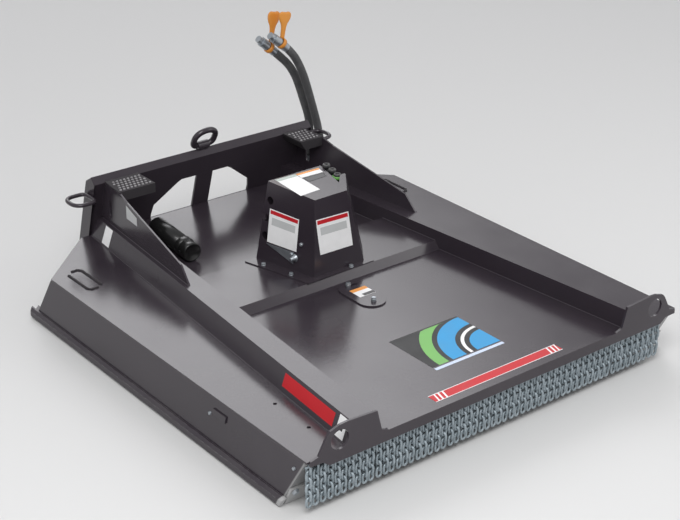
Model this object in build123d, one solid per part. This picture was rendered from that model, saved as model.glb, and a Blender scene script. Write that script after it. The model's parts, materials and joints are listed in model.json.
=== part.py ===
from build123d import *
import os
from math import atan2, cos, hypot, pi, radians, sin, sqrt, tan

# Skid steer brush cutter, in millimetres.
# The pieces are drawn with x to the right, y towards the carrying machine and z up,
# from the middle of the deck's front edge. They are then moved so that the origin
# lies on the ground, under the middle of the machine.

# Cut circle of the blades, which the deck is built round
CUT_R = 914
CUT_SIDE_GAP = 51
CUT_FRONT_GAP = 251
CUT_REAR_GAP = 29
SPINDLE_Y = CUT_R + CUT_FRONT_GAP

# Deck
DECK_HALF_WIDTH = CUT_R + CUT_SIDE_GAP
DECK_LENGTH = SPINDLE_Y + CUT_R + CUT_REAR_GAP
DECK_SHEET = 8
DECK_TOP = 235
CORNER_CUT_LENGTH = 293
CORNER_CUT_WIDTH = 315
CORNER_CUT_Y = DECK_LENGTH - CORNER_CUT_LENGTH
CORNER_CUT_X = DECK_HALF_WIDTH - CORNER_CUT_WIDTH
DRAIN_HOLE_R = 8
DRAIN_HOLES = [
    # distance from the deck's side, y
    (149, 390),
    (148, 182),
]

# Side skirts flare outwards as they go down, with raked ends
SKIRT_SHEET = 8
SKIRT_FLARE = 0.1
SKIRT_BOTTOM = -225
NOSE_TOP_Y = 14
NOSE_TOP_Z = -21
NOSE_RAKE = 0.542
NOSE_WIDTH = 80
NOSE_CORNER_R = 30
TAIL_RAKE = 0.555
CORNER_SKIRT_TOP = 0.96
CORNER_SKIRT_FOOT = 0.85

# Runners that the deck stands on
RUNNER_HEIGHT = 45
RUNNER_SHEET = 10
RUNNER_BULGE = 16
RUNNER_FOOT = 60
RUNNER_NOSE_TOP = -143
RUNNER_TAIL_SHORT = 148

# Hat rails, closer together at the rear
RAIL_SPLAY = 0.0895
RAIL_INSET = 309
RAIL_INNER_X = DECK_HALF_WIDTH - RAIL_INSET
RAIL_TOP_WIDTH = 100
RAIL_SLOPE_WIDTH = 32
RAIL_HEIGHT = 86
RAIL_SHEET = 6

# Front plate with its two wings
FRONT_SHEET = 10
FRONT_LIP = 3
FRONT_DROP = -42
TIE_DOWN_INSET = 140
TIE_DOWN_Z = 47
TIE_DOWN_R = 40
FRONT_WING = [
    # distance from the deck's side, height
    (365, FRONT_LIP),
    (333, 14),
    (310, 102),
    (176, 110),
    (139, 108),
    (97, 95),
    (83, 80),
    (54, 28),
    (45, 11),
    (10, FRONT_LIP),
    (10, -18),
    (65, -20),
    (95, FRONT_DROP),
]

# Chain curtains
CHAIN_PITCH_X = 32
CHAIN_LEFT_GAP = 6
CHAIN_RIGHT_GAP = 60
REAR_CHAIN_PITCH_X = 50
REAR_CHAIN_GAP = 10
CHAIN_TOP = -40
CHAIN_BULGES = 4
CHAIN_BULGE_LENGTH = 42
CHAIN_WAIST = 5
CHAIN_HALF_WIDTH = 15
CHAIN_THICKNESS = 9
CHAIN_BAR_HEIGHT = 14
REAR_CHAIN_INSET = 16

# Machine mount, leaning forward as it goes up
MOUNT_GAP = 4
MOUNT_FOOT_Y = DECK_LENGTH + MOUNT_GAP
MOUNT_LEAN = 0.30
MOUNT_SHEET = 10
MOUNT_BOTTOM = -150
POCKET_WIDTH = 1143
END_SHEET = 12
END_DEPTH = 70
END_TOP_DEPTH = 40
END_TOP_GAP = 6
MOUNT_EDGE = 46.5
MOUNT_TAPER = 25
MOUNT_HALF_TOP = POCKET_WIDTH / 2 + END_SHEET + MOUNT_EDGE
MOUNT_HALF_FOOT = MOUNT_HALF_TOP + MOUNT_TAPER
BEAM_LOW = 172
BEAM_BEND = 272
BEAM_CREST_SHIFT = 54
BEAM_CREST_Y = MOUNT_FOOT_Y - BEAM_CREST_SHIFT
BEAM_CREST_Z = 302
HOOK_REACH = 40
SILL_DEPTH = 50
LOCK_SLOT_INSET = 63.5
LOCK_SLOT_LENGTH = 65
LOCK_SLOT_WIDTH = 30

# Gussets on the rails, and the steps on top of them
GUSSET_INSET = 80
GUSSET_X = RAIL_INNER_X + GUSSET_INSET
GUSSET_SHEET = 8
GUSSET_FOOT_Y = MOUNT_FOOT_Y - 857
GUSSET_NOSE_Y = MOUNT_FOOT_Y - 789
GUSSET_NOSE_Z = 156
GUSSET_KNEE_Y = MOUNT_FOOT_Y - 302
GUSSET_KNEE_Z = 254
GRIP_SLOT_Y = MOUNT_FOOT_Y - 127
GRIP_SLOT_Z = 160
GRIP_SLOT_WIDTH = 26
GRIP_SLOT_HEIGHT = 78
STEP_TOP = 280
STEP_SHEET = 6
STEP_FRONT_Y = MOUNT_FOOT_Y - 232
STEP_FLANGE = 45
STEP_SEAM = 1

# Lift ring and its clip on the beam
LIFT_X = -11
LIFT_ROD_R = 10
LIFT_RING_R = 62
LIFT_BEND_R = 16
LIFT_CENTRE = 46
LIFT_LEAN = 28
CLIP_LENGTH = 60
CLIP_R = 20
CLIP_CLEARANCE = 0.3
CLIP_RISE = 16

# Tie loops on the mount's ends
LOOP_ROD_R = 12
LOOP_HALF = 50
LOOP_REACH = 90
LOOP_GRIP = 26
LOOP_FLARE = 20
LOOP_NECK_R = 12
LOOP_SHOULDER_R = 22
LOOP_END_R = 48
LOOP_Z = 207

# Motor, its platform and its cover, with places from the spindle
PLATFORM_FRONT_Y = SPINDLE_Y - 139
PLATFORM_SLOPE = 26
PLATFORM_REAR_Y = SPINDLE_Y + 235
PLATFORM_REAR_SLOPE = 12
PLATFORM_HEIGHT = 35
PLATFORM_SHEET = 6
COVER_SHEET = 5
COVER_TOP = 400
COVER_CORNERS = [
    # foot x, foot y, top x, top y
    (-107, -93, -106, -93),
    (171, -85, 67, -90),
    (258, 33, 176, 57),
    (258, 220, 150, 196),
    (-189, 220, -139, 193),
]
COVER_FLANGE = [
    # x, y of the foot flange, which is widest on the left
    (-160, -120),
    (204, -112),
    (290, 24),
    (290, 222),
    (-247, 222),
]
COVER_NOTCH_LOW = 230
COVER_NOTCH = [
    # x, y of the notch at the rear right, over the motor's ports
    (92, -5),
    (150, 61),
    (320, 75),
    (320, 285),
    (147, 285),
    (147, 196),
]
COVER_VENT_R = 18
COVER_VENTS = [
    # distance from the left face's rear corner, height
    (60, 318),
    (38, 236),
    (42, 155),
    (206, 298),
]
MOTOR_R = 75
MOTOR_HEIGHT = 250
PORT_BLOCK = (166, 130, 62)
PORT_BLOCK_X = 92
PORT_BLOCK_Y = 120
PORT_R = 12
PORT_NUT_R = 18
PORT_NUT = 22
PORTS = [
    # x, y, height of each port on the block
    (156, 166, 124),
    (151, 118, 118),
    (147, 77, 110),
]

# Rotor under the deck
HOUSING_FLANGE_R = 150
HOUSING_FLANGE = 16
HOUSING_R = 88
HOUSING_FILLET = 20
HOUSING_BOTTOM = -118
SHAFT_R = 35
SHAFT_RISE = 60
RUNNING_FIT = 0.05
CARRIER_TOP = -144
CARRIER_SHEET = 16
CARRIER_R = 350
CARRIER_RIM = 40
CARRIER_RIM_RISE = 24
HUB_R = 80
HUB_GAP = 5
BLADE_COUNT = 3
BLADE_PIVOT_R = 283
BLADE_SHEET = 13
BLADE_WIDTH = 100
BLADE_EDGE = 230
BLADE_BEVEL = 24
BLADE_LAND = 3
BLADE_CRANK = 40
BLADE_RISE = 12
BLADE_TIP_CUT = 18
BOLT_R = 20
BOLT_HEAD_R = 35
BOLT_HEAD = 14
BOLT_NUT_R = 31
BOLT_NUT = 18
PIN_CLEARANCE = 0.4

# Access cover over the blade bolts
ACCESS_LENGTH = 246
ACCESS_WIDTH = 125
ACCESS_SHEET = 6
ACCESS_HOLE_R = 46
ACCESS_Y = SPINDLE_Y - BLADE_PIVOT_R
ACCESS_PIVOT_Y = ACCESS_Y - 77
ACCESS_LATCH_Y = ACCESS_Y + 94
ACCESS_LATCH_GAP = 3
ACCESS_BOLT_R = 6
ACCESS_HEAD_R = 11
ACCESS_HEAD = 8
SEAT_CLEARANCE = 0.3

# Manual tube, lying beside the left rail
TUBE_INSET = 283
TUBE_X = TUBE_INSET - RAIL_INNER_X
TUBE_REAR_Y = MOUNT_FOOT_Y - 181
TUBE_LENGTH = 340
TUBE_R = 36
TUBE_WALL = 3
CAP_LENGTH = 80
CAP_R = 39
TUBE_CLAMPS = (78, 182)
TUBE_CLAMP_WIDTH = 22
TUBE_CLAMP_SHEET = 3

# Hoses behind the right end of the mount
HOSE_R = 24
HOSE_BEND_SHARE = 0.45
BRACKET_GAP = 16.5
BRACKET_LEFT_X = POCKET_WIDTH / 2 + END_SHEET + BRACKET_GAP
BRACKET_RIGHT_X = MOUNT_HALF_FOOT + 130
BRACKET_SHEET = 8
BRACKET_Z = 12
BRACKET_FRONT_Y = MOUNT_FOOT_Y - 12
FITTING_R = 27
FITTING_NUT = 18
COUPLER_LENGTH = 125
COUPLER_R = 23
COUPLER_STEPS = [
    # start and end along the coupler, radius
    (0, 27.5, 21.62),
    (27.5, 56.25, 18.86),
    (56.25, 100, COUPLER_R),
    (100, COUPLER_LENGTH, 17.02),
]
CAP_STEM_R = 8
CAP_BAND = 20
CAP_BAND_WALL = 4
CAP_HEAD = 42
CAP_HEAD_OVERLAP = 22
CAP_NECK = (14, 16)
CAP_FLARE = (20, 46)

# Values that follow from the sizes above
MOUNT_STRETCH = sqrt(1 + MOUNT_LEAN ** 2)
DECK_UNDER = -DECK_SHEET
GROUND = -DECK_TOP


def mount_front(z):
    """The y of the mount's front face at the height z."""
    return MOUNT_FOOT_Y - MOUNT_LEAN * z


def mount_rear(z):
    """The y of the mount's machine side at the height z."""
    return mount_front(z) + MOUNT_SHEET * MOUNT_STRETCH


def mount_edge(z):
    """Half of the mount's width at the height z."""
    return MOUNT_HALF_FOOT - (MOUNT_HALF_FOOT - MOUNT_HALF_TOP) * max(z, 0) / BEAM_CREST_Z


def rail_inner(y):
    """The x of the right rail's inner wall at y."""
    return RAIL_INNER_X - RAIL_SPLAY * y


def gusset_outer(y):
    """The x of the right gusset's outer face at y."""
    return GUSSET_X - RAIL_SPLAY * y


def skirt_outer(z):
    """The x of the right skirt's outer face at the height z."""
    return DECK_HALF_WIDTH - SKIRT_FLARE * (z - DECK_UNDER)


def nose_y(z):
    """The y of the skirt's raked front edge at the height z."""
    return NOSE_TOP_Y + NOSE_RAKE * (NOSE_TOP_Z - z)


def tail_y(z):
    """The y of the skirt's raked rear edge at the height z."""
    return CORNER_CUT_Y - TAIL_RAKE * z


def along_x(outline, x_from, x_to):
    """A solid from a (y, z) outline."""
    face = Plane.YZ.offset(x_from) * Polygon(*outline, align=None)
    return extrude(face, x_to - x_from, dir=(1, 0, 0))


def along_y(outline, y_from, y_to):
    """A solid from an (x, z) outline."""
    face = Plane.XZ.offset(-y_from) * Polygon(*outline, align=None)
    return extrude(face, y_to - y_from, dir=(0, 1, 0))


def along_z(outline, z_from, z_to):
    """A solid from an (x, y) outline."""
    face = Plane.XY.offset(z_from) * Polygon(*outline, align=None)
    return extrude(face, z_to - z_from, dir=(0, 0, 1))


def disc(x, y, z_from, z_to, radius):
    """An upright cylinder."""
    return extrude(Plane((x, y, z_from)) * Circle(radius), z_to - z_from)


def sheet_on(plane, outline, thickness):
    """A sheet from an outline on a plane, thickened along the plane's normal."""
    way = plane.z_dir if thickness > 0 else -plane.z_dir
    return extrude(plane * Polygon(*outline, align=None), abs(thickness), dir=way)


def bent_sheet(path, thickness):
    """The outline of a bent sheet whose thickness lies to the left of the path."""
    other_side = []
    for i, (a, b) in enumerate(path):
        before = path[max(i - 1, 0)]
        after = path[min(i + 1, len(path) - 1)]
        turns = []
        for start, end in ((before, (a, b)), ((a, b), after)):
            length = hypot(end[0] - start[0], end[1] - start[1])
            if length:
                turns.append(((start[1] - end[1]) / length, (end[0] - start[0]) / length))
        normal = (sum(t[0] for t in turns), sum(t[1] for t in turns))
        scale = thickness / (turns[0][0] * normal[0] + turns[0][1] * normal[1])
        other_side.append((a + scale * normal[0], b + scale * normal[1]))
    return list(path) + other_side[::-1]


def mirrored(solid):
    """The same solid on the left side."""
    return mirror(solid, about=Plane.YZ)


def both_sides(node, solid):
    """Store a right-hand solid and its left-hand twin."""
    pieces["right_" + node] = solid
    pieces["left_" + node] = mirrored(solid)


pieces = {}


# Deck plate with cut rear corners, drain holes and the access hole
def make_deck():
    outline = [
        (-DECK_HALF_WIDTH, 0),
        (DECK_HALF_WIDTH, 0),
        (DECK_HALF_WIDTH, CORNER_CUT_Y),
        (CORNER_CUT_X, DECK_LENGTH),
        (-CORNER_CUT_X, DECK_LENGTH),
        (-DECK_HALF_WIDTH, CORNER_CUT_Y),
    ]
    deck = along_z(outline, DECK_UNDER, 0)
    for inset, y in DRAIN_HOLES:
        for side in (-1, 1):
            deck -= disc(side * (DECK_HALF_WIDTH - inset), y, DECK_UNDER, 0, DRAIN_HOLE_R)
    deck -= disc(0, ACCESS_Y, DECK_UNDER, 0, ACCESS_HOLE_R)
    for y in (ACCESS_PIVOT_Y, ACCESS_LATCH_Y):
        deck -= disc(0, y, DECK_UNDER, 0, ACCESS_BOLT_R)
    return deck


# Side skirt: a flared sheet with a nose flange bent inwards at its raked front
def make_side_skirt():
    flared = [
        (skirt_outer(DECK_UNDER), DECK_UNDER),
        (skirt_outer(SKIRT_BOTTOM), SKIRT_BOTTOM),
        (skirt_outer(SKIRT_BOTTOM) - SKIRT_SHEET, SKIRT_BOTTOM),
        (skirt_outer(DECK_UNDER) - SKIRT_SHEET, DECK_UNDER),
    ]
    side_view = [
        (NOSE_TOP_Y, DECK_UNDER),
        (NOSE_TOP_Y, NOSE_TOP_Z),
        (nose_y(SKIRT_BOTTOM), SKIRT_BOTTOM),
        (tail_y(SKIRT_BOTTOM), SKIRT_BOTTOM),
        (tail_y(DECK_UNDER), DECK_UNDER),
    ]
    wall = along_y(flared, 0, DECK_LENGTH) & along_x(side_view, 0, 2 * DECK_HALF_WIDTH)
    inner = DECK_HALF_WIDTH - NOSE_WIDTH
    front_view = [
        (inner, DECK_UNDER),
        (skirt_outer(DECK_UNDER), DECK_UNDER),
        (skirt_outer(SKIRT_BOTTOM), SKIRT_BOTTOM),
        (inner, SKIRT_BOTTOM),
    ]
    sheet_run = SKIRT_SHEET * sqrt(1 + NOSE_RAKE ** 2)
    raked = [
        (NOSE_TOP_Y, DECK_UNDER),
        (NOSE_TOP_Y, NOSE_TOP_Z),
        (nose_y(SKIRT_BOTTOM), SKIRT_BOTTOM),
        (nose_y(SKIRT_BOTTOM) + sheet_run, SKIRT_BOTTOM),
        (NOSE_TOP_Y + SKIRT_SHEET, NOSE_TOP_Z),
        (NOSE_TOP_Y + SKIRT_SHEET, DECK_UNDER),
    ]
    front_face = along_y(front_view, 0, DECK_LENGTH)
    corner = front_face.edges().filter_by(Axis.Y).group_by(Axis.X)[0].sort_by(Axis.Z)[0]
    front_face = fillet(corner, NOSE_CORNER_R)
    return wall + (front_face & along_x(raked, 0, 2 * DECK_HALF_WIDTH))


# Corner skirt under the cut rear corner, flared to meet the side skirt's tail
def make_corner_skirt():
    top = Vector(DECK_HALF_WIDTH, CORNER_CUT_Y, DECK_UNDER)
    run = Vector(CORNER_CUT_X - DECK_HALF_WIDTH, DECK_LENGTH - CORNER_CUT_Y, 0)
    low = Vector(skirt_outer(SKIRT_BOTTOM), tail_y(SKIRT_BOTTOM), SKIRT_BOTTOM)
    fall = low - top
    along = run.normalized()
    sheet = Plane(origin=top, x_dir=along, z_dir=along.cross(fall))
    corners = [top, top + run * CORNER_SKIRT_TOP, low + run * CORNER_SKIRT_FOOT, low]
    outline = [sheet.to_local_coords(corner) for corner in corners]
    skirt = sheet_on(sheet, [(corner.X, corner.Y) for corner in outline], SKIRT_SHEET)
    return skirt - make_side_skirt() - make_runner()


# Runner: a foot under the skirt, a rounded band outside it and a shoe on its nose
def make_runner():
    band_top = GROUND + RUNNER_HEIGHT
    out = skirt_outer(GROUND) + RUNNER_BULGE
    section = [
        (skirt_outer(GROUND) - RUNNER_FOOT, GROUND),
        (skirt_outer(GROUND), GROUND),
        (out, GROUND + RUNNER_SHEET),
        (out, band_top - RUNNER_SHEET),
        (skirt_outer(band_top) + RUNNER_BULGE / 2, band_top),
        (skirt_outer(band_top), band_top),
        (skirt_outer(SKIRT_BOTTOM), SKIRT_BOTTOM),
        (skirt_outer(GROUND) - RUNNER_FOOT, SKIRT_BOTTOM),
    ]
    shoe_run = RUNNER_SHEET * sqrt(1 + NOSE_RAKE ** 2)
    side_view = [
        (nose_y(GROUND) - shoe_run, GROUND),
        (nose_y(band_top) - shoe_run, band_top),
        (DECK_LENGTH, band_top),
        (DECK_LENGTH, GROUND),
    ]
    runner = along_y(section, 0, DECK_LENGTH) & along_x(side_view, 0, 2 * DECK_HALF_WIDTH)
    shoe = [
        (nose_y(GROUND) - shoe_run, GROUND),
        (nose_y(RUNNER_NOSE_TOP) - shoe_run, RUNNER_NOSE_TOP),
        (nose_y(RUNNER_NOSE_TOP), RUNNER_NOSE_TOP),
        (nose_y(GROUND), GROUND),
    ]
    runner += along_x(shoe, DECK_HALF_WIDTH - NOSE_WIDTH, skirt_outer(RUNNER_NOSE_TOP))
    cut_slope = (DECK_LENGTH - CORNER_CUT_Y) / (DECK_HALF_WIDTH - CORNER_CUT_X)
    inner_x = skirt_outer(GROUND) - RUNNER_FOOT
    tail_outer_y = DECK_LENGTH - RUNNER_TAIL_SHORT
    tail_inner_y = tail_outer_y + cut_slope * (out - inner_x)
    plan = [
        (0, 0),
        (out, 0),
        (out, tail_outer_y),
        (inner_x, tail_inner_y),
        (0, tail_inner_y),
    ]
    return runner & along_z(plan, GROUND, 0)


# Hat rail: an upright inner wall, a flat top and a sloped outer wall
def make_rail():
    foot_x = RAIL_INNER_X + RAIL_TOP_WIDTH + RAIL_SLOPE_WIDTH
    path = [
        (foot_x, 0),
        (RAIL_INNER_X + RAIL_TOP_WIDTH, RAIL_HEIGHT),
        (RAIL_INNER_X, RAIL_HEIGHT),
        (RAIL_INNER_X, 0),
    ]
    face = Plane.XZ * Polygon(*bent_sheet(path, RAIL_SHEET), align=None)
    rail = extrude(face, MOUNT_FOOT_Y, dir=(-RAIL_SPLAY, 1, 0))
    side_view = [
        (0, 0),
        (0, RAIL_HEIGHT),
        (mount_front(RAIL_HEIGHT), RAIL_HEIGHT),
        (MOUNT_FOOT_Y, 0),
    ]
    return rail & along_x(side_view, 0, DECK_HALF_WIDTH)


# Front plate: a low lip in the middle and a raised wing with a tie-down hole at each end
def make_front_plate():
    right_half = [(DECK_HALF_WIDTH - inset, z) for inset, z in FRONT_WING]
    left_half = [(-x, z) for x, z in reversed(right_half)]
    plate = along_y(right_half + left_half, -FRONT_SHEET, 0)
    for side in (-1, 1):
        hole_x = side * (DECK_HALF_WIDTH - TIE_DOWN_INSET)
        hole = Plane.XZ * Pos(hole_x, TIE_DOWN_Z) * Circle(TIE_DOWN_R)
        plate -= extrude(hole, FRONT_SHEET)
    return plate


# Chain curtain: columns of links, waisted between the links, on one bar
def make_chains(from_x, to_x, pitch_x, y, top):
    first_x = from_x + CHAIN_HALF_WIDTH
    columns = int((to_x - from_x - 2 * CHAIN_HALF_WIDTH) / pitch_x) + 1
    last_x = first_x + pitch_x * (columns - 1)
    bar_half = CHAIN_HALF_WIDTH
    outline = [(first_x - bar_half, top + CHAIN_BAR_HEIGHT), (first_x - bar_half, top)]
    for column in range(columns):
        x = first_x + column * pitch_x
        left = []
        for i in range(2 * CHAIN_BULGES + 1):
            width = CHAIN_HALF_WIDTH if i % 2 else CHAIN_WAIST
            left.append((width, top - i * CHAIN_BULGE_LENGTH / 2))
        outline += [(x - width, z) for width, z in left]
        outline += [(x + width, z) for width, z in reversed(left)]
    outline += [(last_x + bar_half, top), (last_x + bar_half, top + CHAIN_BAR_HEIGHT)]
    return along_y(outline, y, y + CHAIN_THICKNESS)


# Motor platform: a bent sheet across the deck between the rails
def make_platform():
    path = [
        (PLATFORM_FRONT_Y, 0),
        (PLATFORM_FRONT_Y + PLATFORM_SLOPE, PLATFORM_HEIGHT),
        (PLATFORM_REAR_Y - PLATFORM_REAR_SLOPE, PLATFORM_HEIGHT),
        (PLATFORM_REAR_Y, 0),
    ]
    sheet = along_x(bent_sheet(path, -PLATFORM_SHEET), -RAIL_INNER_X, RAIL_INNER_X)
    plan = [
        (rail_inner(PLATFORM_FRONT_Y), PLATFORM_FRONT_Y),
        (rail_inner(PLATFORM_REAR_Y), PLATFORM_REAR_Y),
        (-rail_inner(PLATFORM_REAR_Y), PLATFORM_REAR_Y),
        (-rail_inner(PLATFORM_FRONT_Y), PLATFORM_FRONT_Y),
    ]
    return sheet & along_z(plan, 0, PLATFORM_HEIGHT)


# Motor cover: an open-bottomed sheet housing that narrows upwards, with a foot flange,
# vents in its left face and a notch at the rear right over the motor's ports
def cover_corner(i, share):
    """A corner of the cover's outline at a share of the way from its foot to its top."""
    foot_x, foot_y, top_x, top_y = COVER_CORNERS[i]
    return (foot_x + share * (top_x - foot_x), SPINDLE_Y + foot_y + share * (top_y - foot_y))


def cover_outline(share):
    return Polygon(*[cover_corner(i, share) for i in range(len(COVER_CORNERS))], align=None)


def make_cover():
    foot = cover_outline(0)
    top = cover_outline(1)
    low = Plane.XY.offset(PLATFORM_HEIGHT)
    high = Plane.XY.offset(COVER_TOP)
    inner_high = Plane.XY.offset(COVER_TOP - COVER_SHEET)
    outside = loft([low * foot, high * top], ruled=True)
    inside = loft([low * offset(foot, -COVER_SHEET), inner_high * offset(top, -COVER_SHEET)], ruled=True)
    cover = outside - inside
    notch = [(x, SPINDLE_Y + y) for x, y in COVER_NOTCH]
    cover -= along_z(notch, COVER_NOTCH_LOW, COVER_TOP)
    rear = Vector(*cover_corner(-1, 0), PLATFORM_HEIGHT)
    front = Vector(*cover_corner(0, 0), PLATFORM_HEIGHT)
    rear_top = Vector(*cover_corner(-1, 1), COVER_TOP)
    face = Plane(origin=rear, x_dir=front - rear, z_dir=(rear_top - rear).cross(front - rear))
    rise = (rear_top - rear).dot(face.y_dir) / (COVER_TOP - PLATFORM_HEIGHT)
    for along, height in COVER_VENTS:
        vent = face * Pos(along, rise * (height - PLATFORM_HEIGHT)) * Circle(COVER_VENT_R)
        cover -= extrude(vent, 3 * COVER_SHEET, both=True)
    flange = Polygon(*[(x, SPINDLE_Y + y) for x, y in COVER_FLANGE], align=None)
    return cover + extrude(low * (flange - offset(foot, -COVER_SHEET)), COVER_SHEET)


# Hydraulic motor: one heavy block inside the cover, with a block of ports on top of it
def make_motor():
    motor_y = SPINDLE_Y + MOTOR_R
    motor_top = PLATFORM_HEIGHT + MOTOR_HEIGHT
    motor = disc(0, motor_y, PLATFORM_HEIGHT, motor_top, MOTOR_R)
    length, width, height = PORT_BLOCK
    block_centre = Pos(PORT_BLOCK_X, SPINDLE_Y + PORT_BLOCK_Y, motor_top - height / 2)
    motor += block_centre * Box(length, width, height)
    for x, y, port_height in PORTS:
        port = disc(x, SPINDLE_Y + y, motor_top, motor_top + port_height, PORT_R)
        nut = Plane((x, SPINDLE_Y + y, motor_top)) * RegularPolygon(PORT_NUT_R, 6)
        motor += port + extrude(nut, PORT_NUT)
    return motor


# Spindle housing under the deck, bored for the rotor's shaft
def make_housing():
    profile = [
        (0, DECK_UNDER),
        (HOUSING_FLANGE_R, DECK_UNDER),
        (HOUSING_FLANGE_R, DECK_UNDER - HOUSING_FLANGE),
        (HOUSING_R + HOUSING_FILLET, DECK_UNDER - HOUSING_FLANGE),
        (HOUSING_R, DECK_UNDER - HOUSING_FLANGE - HOUSING_FILLET),
        (HOUSING_R, HOUSING_BOTTOM),
        (SHAFT_R + RUNNING_FIT, HOUSING_BOTTOM),
        (SHAFT_R + RUNNING_FIT, HOUSING_BOTTOM + SHAFT_RISE),
        (0, HOUSING_BOTTOM + SHAFT_RISE),
    ]
    turned = revolve(Plane.XZ * Polygon(*profile, align=None), Axis.Z)
    return Pos(0, SPINDLE_Y, 0) * turned


# Blade carrier: a round dished plate with a hub and the shaft in the housing
def make_carrier():
    under = CARRIER_TOP - CARRIER_SHEET
    profile = [
        (0, HOUSING_BOTTOM + SHAFT_RISE - PIN_CLEARANCE),
        (SHAFT_R, HOUSING_BOTTOM + SHAFT_RISE - PIN_CLEARANCE),
        (SHAFT_R, HOUSING_BOTTOM - HUB_GAP),
        (HUB_R, HOUSING_BOTTOM - HUB_GAP),
        (HUB_R, CARRIER_TOP),
        (CARRIER_R, CARRIER_TOP),
        (CARRIER_R + CARRIER_RIM, CARRIER_TOP + CARRIER_RIM_RISE),
        (CARRIER_R + CARRIER_RIM, CARRIER_TOP + CARRIER_RIM_RISE - CARRIER_SHEET),
        (CARRIER_R, under),
        (0, under),
    ]
    carrier = revolve(Plane.XZ * Polygon(*profile, align=None), Axis.Z)
    for x, y in blade_pivots():
        carrier -= disc(x, y, under, CARRIER_TOP, BOLT_R + PIN_CLEARANCE)
    return Pos(0, SPINDLE_Y, 0) * carrier


def blade_pivots():
    """The blade pivots round the spindle, the first one at the front."""
    pivots = []
    for i in range(BLADE_COUNT):
        turn = radians(-90 + 360 * i / BLADE_COUNT)
        pivots.append((BLADE_PIVOT_R * cos(turn), BLADE_PIVOT_R * sin(turn)))
    return pivots


# Blade bolts: nut on the carrier, shank through the carrier and blade, head below
def make_blade_bolts():
    under = CARRIER_TOP - CARRIER_SHEET
    head_top = under - BLADE_SHEET - 2 * PIN_CLEARANCE
    bolts = []
    for x, y in blade_pivots():
        bolt = disc(x, y, head_top - BOLT_HEAD, head_top, BOLT_HEAD_R)
        bolt += disc(x, y, head_top, CARRIER_TOP, BOLT_R)
        nut = Plane((x, y, CARRIER_TOP)) * RegularPolygon(BOLT_NUT_R, 6)
        bolt += extrude(nut, BOLT_NUT)
        bolts.append(Pos(0, SPINDLE_Y, 0) * bolt)
    return Compound(children=bolts)


# Swinging blade: a bar that is cranked up near its tip, ground to an edge on both sides there
def make_blade(turn):
    reach = CUT_R - BLADE_PIVOT_R
    half = BLADE_WIDTH / 2
    edge_x = reach - BLADE_EDGE
    path = [(-half, 0), (edge_x - BLADE_CRANK, 0), (edge_x, BLADE_RISE), (reach, BLADE_RISE)]
    bar = along_y(bent_sheet(path, BLADE_SHEET), -half, half)
    plan = [
        (0, -half),
        (reach - BLADE_TIP_CUT, -half),
        (reach, BLADE_TIP_CUT - half),
        (reach, half - BLADE_TIP_CUT),
        (reach - BLADE_TIP_CUT, half),
        (0, half),
    ]
    blade = bar & (along_z(plan, 0, BLADE_RISE + BLADE_SHEET) + disc(0, 0, 0, BLADE_SHEET, half))
    land = BLADE_RISE + BLADE_LAND
    top = BLADE_RISE + BLADE_SHEET
    for side in (-1, 1):
        ground = [(side * half, land), (side * half, top), (side * (half - BLADE_BEVEL), top)]
        blade -= along_x(ground, edge_x, reach)
    blade -= disc(0, 0, 0, BLADE_SHEET, BOLT_R + PIN_CLEARANCE)
    low = CARRIER_TOP - CARRIER_SHEET - PIN_CLEARANCE - BLADE_SHEET
    return Pos(0, SPINDLE_Y, low) * Rot(0, 0, turn) * Pos(BLADE_PIVOT_R, 0, 0) * blade


# Access cover: a round-ended plate that swings about its front bolt
def make_access_cover():
    plan = Pos(0, ACCESS_Y) * SlotOverall(ACCESS_LENGTH, ACCESS_WIDTH, rotation=90)
    reach = ACCESS_LATCH_Y - ACCESS_PIVOT_Y
    gap = ACCESS_BOLT_R + ACCESS_LATCH_GAP
    pivot = Pos(0, ACCESS_PIVOT_Y)
    band = pivot * (Circle(reach + gap) - Circle(reach - gap))
    side = Pos(ACCESS_WIDTH, ACCESS_LATCH_Y) * Rectangle(2 * ACCESS_WIDTH, ACCESS_WIDTH)
    plan -= band & side
    plan -= Pos(0, ACCESS_LATCH_Y) * Circle(gap)
    plan -= pivot * Circle(ACCESS_BOLT_R + PIN_CLEARANCE)
    return extrude(Plane.XY.offset(SEAT_CLEARANCE) * plan, ACCESS_SHEET)


# Bolts that hold the access cover
def make_access_bolts():
    head = ACCESS_SHEET + 2 * SEAT_CLEARANCE
    bolts = []
    for y in (ACCESS_PIVOT_Y, ACCESS_LATCH_Y):
        bolt = disc(0, y, DECK_UNDER, head, ACCESS_BOLT_R)
        bolt += disc(0, y, head, head + ACCESS_HEAD, ACCESS_HEAD_R)
        bolts.append(bolt)
    return Compound(children=bolts)


# Mount beam: a bent sheet with a sloped crest and a hook over the machine's plate
def make_beam():
    path = [
        (BEAM_CREST_Y + HOOK_REACH, BEAM_CREST_Z - HOOK_REACH),
        (BEAM_CREST_Y, BEAM_CREST_Z),
        (mount_front(BEAM_BEND), BEAM_BEND),
        (mount_front(BEAM_LOW), BEAM_LOW),
    ]
    beam = along_x(bent_sheet(path, MOUNT_SHEET), -MOUNT_HALF_FOOT, MOUNT_HALF_FOOT)
    ends = [
        (mount_edge(BEAM_LOW), 0),
        (mount_edge(BEAM_CREST_Z), BEAM_CREST_Z),
        (-mount_edge(BEAM_CREST_Z), BEAM_CREST_Z),
        (-mount_edge(BEAM_LOW), 0),
    ]
    return beam & along_y(ends, 0, MOUNT_FOOT_Y + DECK_TOP)


# Mount plate: two windows beside a middle post, down to the sill
WINDOW_CORNERS = [
    # distance from the middle, height
    (45, -8),
    (45, BEAM_LOW),
    (130, BEAM_LOW),
    (150, 160),
    (268, 66),
    (276, 20),
    (276, -8),
]


def on_mount(x, z):
    """A point of the mount plate in its own leaning plane."""
    return (x, z * MOUNT_STRETCH)


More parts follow.
